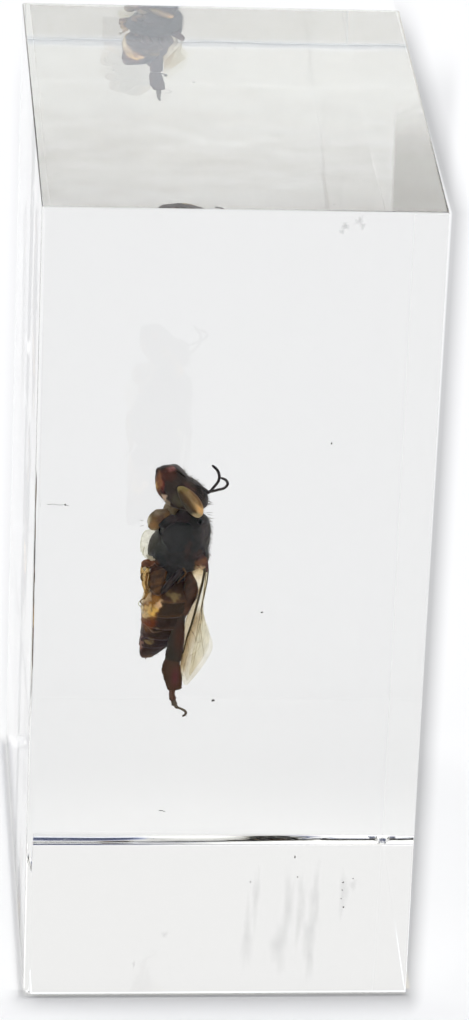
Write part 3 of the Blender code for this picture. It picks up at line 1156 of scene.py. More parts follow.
# ---------------------------------------------------------------- legs
def leg(name, parts, claw, spurs=(), seed=0):
    """parts: (paint, rows of (u, v, y, half-width across, half-depth)), one for each joint."""
    shape = Shape()
    paint = None
    for i, (paint, part) in enumerate(parts):
        rows = [(*P(u, v, y), a, b) for u, v, y, a, b in part]
        shape.tube(smooth(rows, 9 * len(rows)), sides=28 if i < 4 else 12, rough=0.06, seed=seed + i, **paint)
    end, way, size = claw
    for side in (-1, 1):
        a = P(*end)
        tip = [a, a + np.array((way[0] * 0.5, 0.08 * side, way[1] * 0.5)) * size, a + np.array((way[0], 0.10 * side, way[1])) * size,
               a + np.array((way[0] * 1.15, 0.09 * side, way[1] * 1.15 - 0.45)) * size]
        shape.tube(smooth([(*q, r, r) for q, r in zip(tip, (0.040, 0.035, 0.028, 0.012))], 12), sides=8, **paint)
    for a, b, r in spurs:
        shape.tube(smooth([(*P(*a), r, r), (*((P(*a) + P(*b)) / 2), r * 0.8, r * 0.8), (*P(*b), r * 0.2, r * 0.2)], 8), sides=6, **paint)
    shape.build(name, LEG_CUTICLE, THIN_LEG_CUTICLE)


def tone(skin, glow, thin, clear=0.0):
    return dict(skin=skin, glow=glow, thin=thin, clear=clear)


def varied(a, b, seed, size=0.5):
    """A tone that wanders between two."""
    return lambda p: lerp_colour(0.5 + 0.55 * wobble(p, size, seed), a, b)


def mottled(amount, swing, seed):
    return lambda p: np.clip(amount + swing * wobble(p, 0.5, seed), 0, 0.985)


BLACK_LEG = tone(varied(seen(42, 40, 41), seen(50, 45, 43), 61), (0.4, 0.2, 0.1), 0.04)
DARK_LEG = tone(varied(seen(48, 40, 37), seen(62, 47, 41), 62), (0.45, 0.20, 0.12), 0.08)
BROWN_LEG = tone(varied(seen(54, 45, 39), seen(76, 57, 42), 63), (0.75, 0.50, 0.28), 0.08)
RED_LEG = tone(varied(seen(60, 42, 37), seen(96, 68, 50), 64, 0.4), (0.60, 0.30, 0.18), 0.12)
AMBER_LEG = tone((0.30, 0.18, 0.07), (0.86, 0.66, 0.36), 0.50, mottled(0.80, 0.12, 91))
CREAM_LEG = tone((0.40, 0.27, 0.12), (0.86, 0.71, 0.45), 0.55, mottled(0.78, 0.14, 92))
SILVER_LEG = tone((0.98, 0.97, 0.80), (0.995, 0.992, 0.925), 0.60, mottled(0.984, 0.0, 93))
THIN_LEG = tone(seen(72, 66, 58), (0.6, 0.45, 0.28), 0.20)


def make_legs():
    # hind legs: wide pollen-basket shin and a broad flat first foot joint
    foot = tone(
        lambda p: lerp_colour(
            near(p, P(174.8, 675, -0.05), (0.42, 2.0, 1.30)), seen(58, 46, 38), seen(70, 44, 44)),
        (0.50, 0.16, 0.12), 0.06)
    shin = tone(
        lambda p: lerp_colour(
            near(p, P(179.5, 634, -0.05), (0.60, 2.0, 2.4)), seen(46, 43, 39), seen(58, 42, 36)),
        (0.45, 0.2, 0.12), 0.06)
    leg(
        "hind_leg_left",
        [
            (DARK_LEG, [(182, 562, 0.9, 0.40, 0.36), (187, 569, 0.55, 0.38, 0.34)]),
            (tone(varied(seen(50, 42, 37), seen(66, 50, 42), 65), (0.5, 0.3, 0.18), 0.07),
             [(188.6, 572.5, 0.40, 0.26, 0.24), (190.8, 582, 0.25, 0.42, 0.34), (190.4, 592, 0.15, 0.50, 0.36), (187.2, 602, 0.10, 0.33, 0.28), (184.3, 610.5, 0.08, 0.25, 0.22)]),
            (shin, [(181.5, 610.5, 0.05, 0.24, 0.20), (177.8, 619, 0.0, 0.44, 0.22), (177.1, 629, -0.05, 0.495, 0.22),
                    (175.7, 642, -0.05, 0.545, 0.20), (173.8, 652.8, -0.05, 0.55, 0.18), (172.8, 657.8, -0.05, 0.52, 0.16)]),
            (foot, [(171.9, 657.5, -0.05, 0.46, 0.14), (170.9, 663.5, -0.05, 0.60, 0.15), (171.5, 669.4, -0.05, 0.625, 0.15), (172.9, 676, -0.05, 0.59, 0.14),
                    (173.8, 683.0, -0.05, 0.52, 0.13), (174.2, 687.2, -0.05, 0.46, 0.12)]),
            (tone(seen(72, 56, 48), (0.6, 0.3, 0.2), 0.10), [(172.0, 688.0, 0.0, 0.20, 0.15), (171.7, 692.5, 0.0, 0.19, 0.14), (172.4, 697.3, 0.0, 0.235, 0.16)]),
            (THIN_LEG, [(172.8, 698.6, 0.0, 0.16, 0.12), (174.1, 702.6, 0.02, 0.205, 0.14)]),
            (THIN_LEG, [(174.9, 703.4, 0.03, 0.12, 0.10), (176.6, 706.0, 0.05, 0.125, 0.10)]),
            (THIN_LEG, [(176.8, 706.0, 0.05, 0.085, 0.075), (181.4, 707.7, 0.05, 0.080, 0.075), (184.8, 709.8, 0.05, 0.085, 0.075),
                        (185.7, 711.8, 0.05, 0.085, 0.075), (184.6, 713.6, 0.05, 0.080, 0.070), (182.8, 714.7, 0.05, 0.065, 0.055)]),
        ],
        ((183.2, 714.5, 0.05), (-0.4, -0.15), 0.13),
        seed=40,
    )
    leg(
        "hind_leg_right",
        [
            (DARK_LEG, [(180, 560, 2.1, 0.42, 0.36), (184, 567, 2.4, 0.40, 0.34)]),
            (DARK_LEG, [(184, 570, 2.5, 0.28, 0.26), (185, 584, 2.8, 0.36, 0.32), (182, 598, 2.9, 0.36, 0.32), (180, 606, 2.95, 0.25, 0.22)]),
            (DARK_LEG, [(180, 607, 3.0, 0.20, 0.18), (177.5, 616, 3.0, 0.34, 0.18), (175.5, 628, 3.0, 0.42, 0.18), (174.5, 640, 3.0, 0.46, 0.17), (173.5, 647, 3.0, 0.44, 0.15)]),
            (DARK_LEG, [(172.5, 650, 3.05, 0.40, 0.15), (172.2, 658, 3.2, 0.48, 0.15), (172.4, 668, 3.5, 0.50, 0.14), (173.4, 679, 3.85, 0.42, 0.13)]),
            (THIN_LEG, [(173.0, 681.5, 3.9, 0.18, 0.14), (172.6, 686, 4.0, 0.20, 0.15)]),
            (THIN_LEG, [(172.3, 687.5, 4.05, 0.14, 0.11), (172.1, 692, 4.15, 0.15, 0.12)]),
            (THIN_LEG, [(172.2, 693, 4.2, 0.10, 0.09), (172.6, 697, 4.3, 0.10, 0.09)]),
        ],
        ((172.6, 697, 4.3), (0.3, -0.8), 0.2),
        seed=60,
    )
    # middle legs: folded against the belly
    leg(
        "middle_leg_left",
        [
            (DARK_LEG, [(171, 559, 0.6, 0.36, 0.34), (163, 565, 0.4, 0.38, 0.30), (155.5, 568.5, 0.35, 0.34, 0.26), (151.6, 571.5, 0.36, 0.24, 0.20)]),
            (BROWN_LEG, [(163.5, 567.5, 0.30, 0.36, 0.30), (158, 575, 0.15, 0.56, 0.36), (155.6, 583, 0.10, 0.46, 0.34), (158.5, 590.5, 0.06, 0.26, 0.22)]),
            (BLACK_LEG, [(162, 590.5, 0.0, 0.14, 0.12), (167, 585, -0.1, 0.21, 0.16), (174, 576, -0.2, 0.21, 0.17), (180.8, 567.5, -0.25, 0.16, 0.13)]),
            (tone(seen(72, 56, 43), (0.6, 0.45, 0.28), 0.1), [(183.5, 566.5, -0.25, 0.09, 0.09), (185.6, 571, -0.22, 0.055, 0.055), (181.5, 576.0, -0.2, 0.05, 0.05), (178.0, 580.0, -0.15, 0.04, 0.04)]),
        ],
        ((178.0, 580.2, -0.15), (-0.4, -0.3), 0.12),
        seed=80,
    )
    leg(
        "middle_leg_right",
        [
            (DARK_LEG, [(170, 551, 2.3, 0.40, 0.36), (165, 558, 2.5, 0.34, 0.30)]),
            (DARK_LEG, [(165, 560, 2.55, 0.28, 0.26), (167, 571, 2.7, 0.34, 0.30), (171, 583, 2.75, 0.32, 0.28), (174, 592, 2.75, 0.22, 0.20)]),
            (BROWN_LEG, [(174, 592, 2.70, 0.18, 0.17), (170, 586, 2.65, 0.24, 0.20), (167, 578, 2.6, 0.26, 0.20), (165, 570, 2.5, 0.20, 0.16)]),
            (BROWN_LEG, [(165.5, 571, 2.5, 0.15, 0.13), (168, 578, 2.45, 0.15, 0.12), (171, 585, 2.4, 0.11, 0.10)]),
            (BROWN_LEG, [(171, 586, 2.4, 0.06, 0.06), (174, 592, 2.38, 0.06, 0.06), (176, 598, 2.36, 0.045, 0.045)]),
        ],
        ((176.0, 598.2, 2.36), (0.3, -0.8), 0.2),
        seed=100,
    )
    # front legs: short, tucked under the front of the thorax
    lobe = LOBE_MARKS_AND_PAINTED_LIGHT.over(seen(84, 68, 50))
    leg(
        "front_leg_left",
        [
            (tone(lobe, (0.9, 0.6, 0.25), 0.12),
             [(164.5, 513.0, 0.9, 0.42, 0.40), (159.5, 515.2, 0.82, 0.52, 0.46), (155.6, 519.2, 0.76, 0.52, 0.46), (154.2, 523.2, 0.74, 0.42, 0.38)]),
            (SILVER_LEG,
             [(156, 529.5, 0.65, 0.26, 0.26), (151.5, 534, 0.5, 0.54, 0.40), (148.3, 541, 0.4, 0.52, 0.38), (146.6, 548.5, 0.35, 0.34, 0.28), (147.6, 554, 0.3, 0.20, 0.18)]),
            (RED_LEG, [(153.8, 558.5, 0.20, 0.20, 0.18), (150, 560.2, 0.15, 0.29, 0.24), (145.2, 561.5, 0.15, 0.25, 0.20), (143.6, 563.6, 0.15, 0.16, 0.15)]),
            (CREAM_LEG, [(145.4, 565.0, 0.15, 0.30, 0.20), (145.0, 571, 0.15, 0.29, 0.20), (145.6, 577, 0.2, 0.27, 0.18), (146.2, 583, 0.25, 0.25, 0.16), (147.0, 590, 0.25, 0.18, 0.12)]),
            (CREAM_LEG, [(147.0, 590.5, 0.20, 0.10, 0.09), (145.6, 593.6, 0.2, 0.10, 0.08), (144.2, 596.0, 0.18, 0.08, 0.07)]),
            (tone(seen(120, 105, 80), (0.6, 0.45, 0.28), 0.3, 0.3), [(144.4, 596.2, 0.18, 0.05, 0.05), (141.6, 597.4, 0.15, 0.05, 0.05), (140.2, 599.6, 0.15, 0.045, 0.045)]),
        ],
        ((140.3, 599.8, 0.15), (0.8, -0.9), 0.17),
        seed=120,
    )
    leg(
        "front_leg_right",
        [
            (tone(lobe, (0.9, 0.6, 0.25), 0.12), [(164.5, 515.0, 2.2, 0.30, 0.30), (159.5, 518.0, 2.3, 0.34, 0.32), (157.5, 523, 2.3, 0.28, 0.26)]),
            (DARK_LEG, [(160, 526, 2.35, 0.24, 0.22), (163, 534, 2.5, 0.36, 0.32), (163, 543, 2.6, 0.34, 0.28), (161, 551, 2.7, 0.22, 0.20)]),
            (RED_LEG, [(160, 552, 2.75, 0.18, 0.16), (158.5, 556, 2.8, 0.22, 0.18), (159, 561, 2.8, 0.18, 0.15)]),
            (BROWN_LEG, [(159.5, 563, 2.8, 0.16, 0.14), (161.5, 571, 2.8, 0.16, 0.13), (164.4, 578, 2.8, 0.12, 0.11)]),
            (BROWN_LEG, [(164.4, 579, 2.8, 0.07, 0.06), (167, 584, 2.75, 0.07, 0.06), (169.5, 588, 2.7, 0.05, 0.05)]),
        ],
        ((169.5, 588, 2.7), (0.5, -0.6), 0.2),
        seed=140,
    )
    # Thin outlines where the skin of the front legs has dried away from the resin.
    film = Shape()
    olive = tone((0.80, 0.80, 0.62), (0.95, 0.95, 0.82), 0.5, 0.95)
    brown = tone((0.26, 0.18, 0.08), (0.80, 0.62, 0.36), 0.4, 0.60)
    for line, r, paint in (
        ([(146.5, 528.5, 0.3), (143.2, 532, 0.25), (141.6, 537, 0.2), (140.9, 544, 0.2), (141.4, 550, 0.2)], 0.022, olive),
        ([(144.6, 545.0, 0.0), (143.4, 549.0, 0.0), (143.2, 553.0, 0.0)], 0.030, olive),
        ([(147.4, 571.0, -0.1), (146.6, 576, -0.1), (146.2, 581, -0.1), (146.8, 586, -0.1)], 0.075, brown),
        ([(142.2, 571.5, 0.0), (141.4, 575.0, 0.0), (142.2, 578.0, 0.0)], 0.070, tone(seen(92, 80, 58), (0.7, 0.5, 0.3), 0.3, 0.2)),
        ([(141.4, 566.0, 0.1), (141.0, 571, 0.1)], 0.030, olive),
        ([(141.2, 597.5, 0.1), (138.9, 600.0, 0.1), (138.6, 602.6, 0.1), (141.0, 604.4, 0.1)], 0.032, olive),
    ):
        film.tube(smooth([(*P(*q), r, r) for q in line], 8 * len(line)), sides=10, **paint)
    film.build("dried_skin_folds", LEG_CUTICLE, THIN_LEG_CUTICLE)
    # Small pale flecks of trapped air, their cream colour a painted highlight.
    air = Shape()
    for u, v, y, a, b, c in ((150.2, 555.6, -0.10, 0.20, 0.06, 0.13), (147.6, 553.4, -0.06, 0.12, 0.05, 0.07), (144.6, 566.6, -0.12, 0.10, 0.05, 0.13),
                             (152.6, 557.4, -0.10, 0.16, 0.05, 0.07)):
        air.blob(P(u, v, y), (a, b, c), rough=0.18, seed=int(u), skin=(0.90, 0.83, 0.66))
    air.build("air_flecks_painted_highlight", AIR_FILM_AND_GLINT)


# ---------------------------------------------------------------- wings
def make_sheet(name, costa, trail, depth, tint, clear, rows=90, cols=30):
    """A thin membrane between two outlines. Returns the place of a point given in parts of
    its length and width."""
    c_path = smooth([(*c, 0.0) for c in costa], 61)[:, :2]
    t_path = smooth([(*c, 0.0) for c in trail], 61)[:, :2]

    def at(s, t):
        i = np.clip(s, 0, 1) * 60
        k = np.arange(61)
        a = np.array((np.interp(i, k, c_path[:, 0]), np.interp(i, k, c_path[:, 1])))
        b = np.array((np.interp(i, k, t_path[:, 0]), np.interp(i, k, t_path[:, 1])))
        q = a * (1 - t) + b * t
        return P(q[0], q[1], depth(s, t))

    grid = np.array([[at(i / rows, j / cols) for j in range(cols + 1)] for i in range(rows + 1)])
    flat = grid.reshape(-1, 3)
    flat = flat + np.outer(wobble(flat, 1.2, 71) * 0.035 + wobble(flat, 0.45, 72) * 0.012, (0.3, 1, 0))
    thick = 0.003
    points = np.vstack([flat + (0, thick, 0), flat - (0, thick, 0)])
    n = cols + 1
    off = len(flat)
    faces = []
    for i in range(rows):
        for j in range(cols):
            q = (i * n + j, (i + 1) * n + j, (i + 1) * n + j + 1, i * n + j + 1)
            faces.append(q)
            faces.append(tuple(k + off for k in reversed(q)))
    rim = [i * n for i in range(rows + 1)] + [rows * n + j for j in range(1, n)]
    rim += [i * n + cols for i in range(rows - 1, -1, -1)] + [j for j in range(cols - 1, 0, -1)]
    for a, b in zip(rim, rim[1:] + rim[:1]):
        faces.append((a, a + off, b + off, b))
    Shape().add(points, faces, skin=(0.80, 0.72, 0.50), glow=tint, thin=clear).build(name, MEMBRANE)
    return at


def make_wing(name, costa, trail, depth, veins, film_tone, clear=0.985, shade=None, dark=(0.955, 0.93, 0.86)):
    def tint(p):
        base = np.broadcast_to(np.asarray(film_tone, float), (len(p), 3))
        return lerp_colour(shade(p), base, np.asarray(film_tone) * dark) if shade else base

    at = make_sheet(name + "_membrane", costa, trail, depth, tint, lambda p: np.clip(clear + 0.006 * wobble(p, 0.8, 75), 0.3, 0.995))
    net = Shape()
    for line, r0, r1, paint in veins:
        rows_ = [at(s, t) for s, t in line]
        radii = np.linspace(r0, r1, len(rows_))
        net.tube(smooth([(*q, r, r) for q, r in zip(rows_, radii)], 5 * len(rows_) + 4), sides=8, **paint)
    net.build(name + "_veins", LEG_CUTICLE, THIN_LEG_CUTICLE)


DARK_VEIN = tone((0.085, 0.070, 0.036), (0.5, 0.38, 0.15), 0.10)
GREY_VEIN = tone((0.20, 0.18, 0.12), (0.80, 0.75, 0.58), 0.35, 0.22)
PALE_VEIN = tone((0.34, 0.28, 0.17), (0.92, 0.86, 0.70), 0.40, 0.72)
FAINT_VEIN = tone((0.45, 0.38, 0.26), (0.96, 0.93, 0.84), 0.40, 0.88)

FORE_VEINS = [
    ([(0.0, 0.02), (0.12, 0.0), (0.25, 0.0), (0.38, 0.0), (0.50, 0.0), (0.56, 0.0)], 0.085, 0.075, DARK_VEIN),
    ([(0.55, 0.0), (0.60, 0.0), (0.66, 0.01), (0.72, 0.02)], 0.078, 0.040, tone((0.13, 0.10, 0.05), (0.6, 0.45, 0.2), 0.2, 0.25)),
    ([(0.71, 0.02), (0.78, 0.03), (0.85, 0.04), (0.92, 0.05)], 0.036, 0.014, PALE_VEIN),
    ([(0.0, 0.92), (0.1, 0.94), (0.2, 0.94), (0.32, 0.90), (0.40, 0.72)], 0.048, 0.024, GREY_VEIN),
    ([(0.40, 0.72), (0.45, 0.58), (0.52, 0.44), (0.62, 0.34)], 0.024, 0.014, PALE_VEIN),
    ([(0.60, 0.02), (0.70, 0.18), (0.82, 0.20), (0.92, 0.12)], 0.018, 0.011, PALE_VEIN),
    ([(0.45, 0.50), (0.56, 0.56), (0.66, 0.68), (0.72, 0.80)], 0.017, 0.010, PALE_VEIN),
    ([(0.52, 0.05), (0.56, 0.26), (0.62, 0.42), (0.70, 0.46)], 0.017, 0.012, PALE_VEIN),
    ([(0.62, 0.42), (0.60, 0.58)], 0.013, 0.011, PALE_VEIN),
    ([(0.70, 0.46), (0.74, 0.30)], 0.013, 0.011, PALE_VEIN),
    ([(0.70, 0.46), (0.78, 0.54), (0.84, 0.62)], 0.013, 0.010, PALE_VEIN),
]
HIND_VEINS = [
    ([(0.0, 0.04), (0.25, 0.02), (0.5, 0.02), (0.7, 0.04)], 0.026, 0.012, FAINT_VEIN),
    ([(0.04, 0.20), (0.3, 0.30), (0.55, 0.42), (0.80, 0.50)], 0.015, 0.010, FAINT_VEIN),
    ([(0.30, 0.30), (0.40, 0.06)], 0.012, 0.010, FAINT_VEIN),
    ([(0.10, 0.34), (0.34, 0.62), (0.50, 0.86)], 0.013, 0.009, FAINT_VEIN),
]


def make_wings():
    costa = [(204.8, 567), (204.0, 573), (202.2, 581.3), (198.9, 594), (195.4, 607.5), (191.9, 621), (188.6, 630.3), (184.9, 642), (182.4, 652), (180.4, 660),
             (179.8, 668), (181.4, 677), (183.6, 683)]
    trail = [(208.6, 567), (208.2, 572), (206.9, 581.3), (204.2, 594), (201.9, 605), (203.2, 613), (205.6, 620), (209.0, 630), (212.0, 638), (211.9, 648), (205.9, 659.2),
             (197.6, 671.0), (187.0, 683.5)]

    def low_left(p):
        u, v = drawing(p)
        return np.clip((v - 636 + 0.5 * (196 - u)) / 24, 0, 1) * np.clip((207 - u) / 14, 0, 1) * np.clip((686 - v) / 12, 0.3, 1)

    edge = np.array(costa)

    def near_front(p):
        u, v = drawing(p)
        away = u - np.interp(v, edge[:, 1], edge[:, 0])
        return np.clip(1 - away / 11.5, 0, 1) * np.clip((v - 602) / 14, 0, 1) * np.clip((678 - v) / 16, 0, 1)

    def before_front(p):
        u, v = drawing(p)
        away = np.interp(v, edge[:, 1], edge[:, 0]) - u
        return np.clip(away / 1.6 + 0.5, 0, 1)

    make_wing("fore_wing_left", costa, trail, lambda s, t: -0.35 + 0.55 * s + (0.80 - 0.2 * s) * t, FORE_VEINS, (0.985, 0.972, 0.925), 0.982,
              lambda p: np.maximum(low_left(p) * 0.12, near_front(p)), (0.62, 0.515, 0.36))
    costa2 = [(206.2, 567), (205.2, 580), (203.4, 594), (201.5, 606), (198.5, 620), (195.5, 634), (193.0, 648), (190.5, 660), (188.5, 672)]
    trail2 = [(208.6, 568), (207.2, 580), (205.0, 594), (203.0, 606), (205.5, 620), (209.2, 634), (208.0, 646), (200.0, 660), (190.0, 674)]
    make_wing("hind_wing_left", costa2, trail2, lambda s, t: 0.15 + 0.45 * s + 0.60 * t, HIND_VEINS, (0.990, 0.982, 0.950), 0.988, low_left, (0.97, 0.95, 0.91))
    # The far pair lies behind the near one.
    costa3 = [(204.5, 562), (203.5, 574), (198.5, 588), (192.0, 602), (187.0, 614), (184.6, 626), (183.0, 640), (182.0, 652), (183.0, 666), (186, 678)]
    trail3 = [(208.0, 563), (207.4, 575), (205.6, 588), (202.6, 602), (204.6, 614), (208.4, 626), (209.4, 637), (204.5, 649), (197.0, 662), (187.5, 679)]
    far = [(line, r0 * 0.45, r1 * 0.55, FAINT_VEIN) for line, r0, r1, _ in FORE_VEINS]
    make_wing("fore_wing_right", costa3, trail3, lambda s, t: 3.2 - 0.5 * s - (0.75 - 0.2 * s) * t, far, (0.990, 0.982, 0.950), 0.988, before_front, (0.845, 0.785, 0.68))
    costa4 = [(206.0, 562), (205.2, 576), (203.2, 590), (201.0, 604), (198.0, 618), (195.5, 632), (193.5, 644), (191.0, 656)]
    trail4 = [(208.0, 563), (207.2, 576), (205.2, 590), (202.8, 604), (204.6, 616), (206.4, 628), (202.5, 641), (193.0, 657)]
    make_wing("hind_wing_right", costa4, trail4, lambda s, t: 2.8 - 0.4 * s - 0.55 * t, HIND_VEINS, (0.994, 0.988, 0.965), 0.99)

    # The fold of skin between the wing root and the abdomen.
    def fold_tint(p):
        _, v = drawing(p)
        c = lerp_colour((v - 562) / 6.0, (0.66, 0.48, 0.30), (0.90, 0.79, 0.60))
        return lerp_colour((v - 568) / 12.0, c, (0.975, 0.93, 0.83))

    make_sheet("wing_root_fold", [(190, 562), (191.5, 571), (194.5, 578), (196.6, 585), (196.8, 592)], [(205.0, 562), (204.2, 572), (202.6, 580), (201.0, 587), (198.6, 593.5)],
               lambda s, t: 0.5 + 0.2 * s + 0.1 * t, fold_tint, lambda p: np.clip(0.96 + 0.02 * wobble(p, 0.3, 76), 0, 0.985), 30, 16)
    roots = Shape()
    for side in (-1, 1):
        roots.tube(smooth([(*P(u, v - (side + 1) * 4, MID + side * y), a, b) for u, v, y, a, b in
                           ((194, 553, 1.3, 0.26, 0.20), (199.5, 557.5, 1.50, 0.42, 0.20), (203.8, 562.5, 1.68, 0.32, 0.15), (206.0, 569, 1.72, 0.14, 0.08))], 24),
                   sides=32, rough=0.06, seed=5, skin=THORAX_MARKS_AND_PAINTED_LIGHT.over(seen(64, 48, 46)), glow=(0.8, 0.35, 0.2), thin=0.06)
    roots.build("wing_roots", LEG_CUTICLE)


# ---------------------------------------------------------------- hair
def surface_points(piece, count, r, keep):
    mesh = piece.data
    mesh.calc_loop_triangles()
    tri = np.array([t.vertices[:] for t in mesh.loop_triangles])
    co = np.array([v.co[:] for v in mesh.vertices]) / MM
    a, b, c = co[tri[:, 0]], co[tri[:, 1]], co[tri[:, 2]]
    cross = np.cross(b - a, c - a)
    area = np.linalg.norm(cross, axis=1)
    pick = r.choice(len(tri), size=count * 3, p=area / area.sum())
    s, t = r.random(count * 3), r.random(count * 3)
    flip = s + t > 1
    s[flip], t[flip] = 1 - s[flip], 1 - t[flip]
    p = a[pick] + (b - a)[pick] * s[:, None] + (c - a)[pick] * t[:, None]
    n = cross[pick] / np.maximum(area[pick], 1e-12)[:, None]
    ok = keep(p, n)
    return p[ok][:count], n[ok][:count]


def hair_mesh(strands):
    """Tapered three-sided hairs. strands: (root, direction, bend, length, radius, tint)."""
    verts, faces, tints = [], [], []
    base = 0
    r = np.random.default_rng(9)
    for q, way, bend, size, radius, tint in strands:
        side = np.cross(way, r.normal(size=3))
        side /= max(np.linalg.norm(side), 1e-6)
        other = np.cross(way, side)
        for s, w in ((0.0, 1.0), (0.35, 0.85), (0.7, 0.55)):
            c = q + way * size * s + bend * size * 0.45 * s * s
            for j in range(3):
                ang = 2 * math.pi * j / 3
                verts.append(c + (side * math.cos(ang) + other * math.sin(ang)) * radius * w)
        verts.append(q + way * size + bend * size * 0.45)
        for k in range(2):
            for j in range(3):
                l = (j + 1) % 3
                faces.append((base + 3 * k + j, base + 3 * k + l, base + 3 * k + 3 + l, base + 3 * k + 3 + j))
        for j in range(3):
            faces.append((base + 6 + j, base + 6 + (j + 1) % 3, base + 9))
        faces.append((base + 2, base + 1, base))
        tints += [tint] * 10
        base += 10
    return np.array(verts), faces, np.array(tints)


def hairs(name, sources, radius, dark, light, seed, lie=(0, 0, -1), extra=()):
    r = np.random.default_rng(seed)
    strands = list(extra)
    for piece, count, length, keep in sources:
        p, n = surface_points(piece, count, r, keep)
        for q, m in zip(p, n):
            lay = np.asarray(lie, float) + r.normal(size=3) * 0.35
            way = m * r.uniform(0.6, 1.0) + lay * r.uniform(0.2, 0.8)
            way /= np.linalg.norm(way)
            strands.append((q, way, lay - way * (lay @ way), length * r.uniform(0.55, 1.25), radius, r.uniform(0.6, 1.2)))
    points, faces, tints = hair_mesh(strands)
    Shape().add(points, faces, skin=np.outer(tints, dark), glow=np.outer(tints, light)).build(name, HAIR)


def bristle(u, v, y, to_u, to_v, radius=0.020):
    a, b = P(u, v, y), P(to_u, to_v, y)
    d = b - a
    size = np.linalg.norm(d)
    return (a - d * 0.3, d / size, np.array((0.1, 0, -0.25)), size * 1.3, radius, 0.8)


def make_hair():
    o = bpy.data.objects
    outside = lambda p, n: n[:, 1] > -0.6
    dark, light = (0.060, 0.048, 0.036), (0.42, 0.33, 0.20)
    stiff = [bristle(*b) for b in (
        (208.0, 511.0, 1.0, 213.6, 510.4), (208.6, 513.0, 1.4, 212.8, 513.4), (209.0, 516.6, 1.0, 214.2, 516.2), (209.2, 519.5, 1.2, 213.0, 520.0),
        (209.4, 524.4, 1.2, 213.6, 524.8), (209.4, 527.5, 0.9, 212.6, 528.6), (207.6, 502.6, 1.3, 213.4, 500.0, 0.030), (208.0, 503.4, 1.3, 214.0, 501.6, 0.030),
        (207.0, 500.5, 1.5, 212.0, 499.0, 0.026), (207.4, 498.5, 1.2, 211.4, 501.4, 0.024), (184.2, 470.4, 2.2, 186.4, 468.2), (190.6, 475.6, 2.2, 193.4, 473.6),
        (196.6, 479.6, 2.2, 199.2, 477.4), (202.8, 484.6, 2.2, 205.6, 482.6), (209.2, 545.0, 1.3, 212.0, 547.4), (208.6, 551.0, 1.3, 211.2, 553.8),
        (142.4, 519.0, 1.1, 138.6, 517.6, 0.014), (143.0, 524.0, 1.1, 139.4, 524.2, 0.014))]
    hairs("thorax_hair", [
        (o["thorax"], 1300, 0.30, lambda p, n: (p[:, 2] > P(180, 572, MID)[2]) & (n[:, 0] > -0.2) & (n[:, 1] > -0.5)),
        (o["thorax"], 160, 0.20, lambda p, n: (n[:, 0] < -0.2) & (n[:, 1] > -0.5)),
        (o["thorax_plates"], 160, 0.22, outside),
    ], 0.0060, dark, light, 201, extra=stiff)
    hairs("head_hair", [
        (o["head_capsule"], 700, 0.18, lambda p, n: ((p - HEAD_O) @ HEAD_A < 2.6) & (n[:, 1] > -0.5)),
        (o["head_capsule"], 80, 0.16, lambda p, n: ((p - HEAD_O) @ HEAD_A >= 2.6) & (n[:, 1] > -0.5)),
    ], 0.0058, dark, light, 202, lie=(0.3, 0, 0.2))
    hairs("abdomen_hair", [
        (o[f"abdomen_ring_{k}"], (180, 260, 260, 220, 170, 110)[k - 1], (0.26, 0.20, 0.16, 0.15, 0.15, 0.14)[k - 1], outside)
        for k in range(1, 7)
    ], 0.0055, dark, light, 203)
    hairs("leg_hair", [
        (o["hind_leg_left"], 420, 0.13, outside),
        (o["hind_leg_right"], 260, 0.14, outside),
        (o["middle_leg_left"], 120, 0.11, outside),
        (o["middle_leg_right"], 120, 0.11, outside),
        (o["front_leg_left"], 90, 0.09, outside),
        (o["front_leg_right"], 90, 0.09, outside),
    ], 0.0050, dark, light, 204)


# ---------------------------------------------------------------- dust and marks
def speck_material():
    material, n, shader, _ = new_material("dust_speck")
    where = n.add("ShaderNodeTexCoord").outputs["Object"]
    grain = n.noise(where, 9000.0, 3.0)
    n.tree.links.new(n.mix(grain, (0.10, 0.10, 0.095, 1), (0.20, 0.195, 0.18, 1)), shader.inputs["Base Color"])
    shader.inputs["Roughness"].default_value = 0.8
    return material


def smear_material():
    """Faint handling marks on the front face; the attribute says how strong."""
    material, n, shader, out = new_material("handling_marks")
    where = n.add("ShaderNodeTexCoord").outputs["Object"]
    mottle = n.step(n.noise(where, 700.0, 3.0), 0.3, 0.7, 0.55, 1.0)
    amount = n.math("MULTIPLY", n.add("ShaderNodeAttribute", attribute_name="thin").outputs["Fac"], mottle)
    shader.inputs["Base Color"].default_value = (0.40, 0.40, 0.40, 1)
    shader.inputs["Roughness"].default_value = 0.9
    shader.inputs["Specular IOR Level"].default_value = 0.0
    clear = n.add("ShaderNodeBsdfTransparent", {"Color": (1, 1, 1, 1)})
    both = n.add("ShaderNodeMixShader", {0: amount, 1: clear.outputs[0], 2: shader.outputs[0]})
    n.tree.links.new(both.outputs[0], out.inputs["Surface"])
    return material


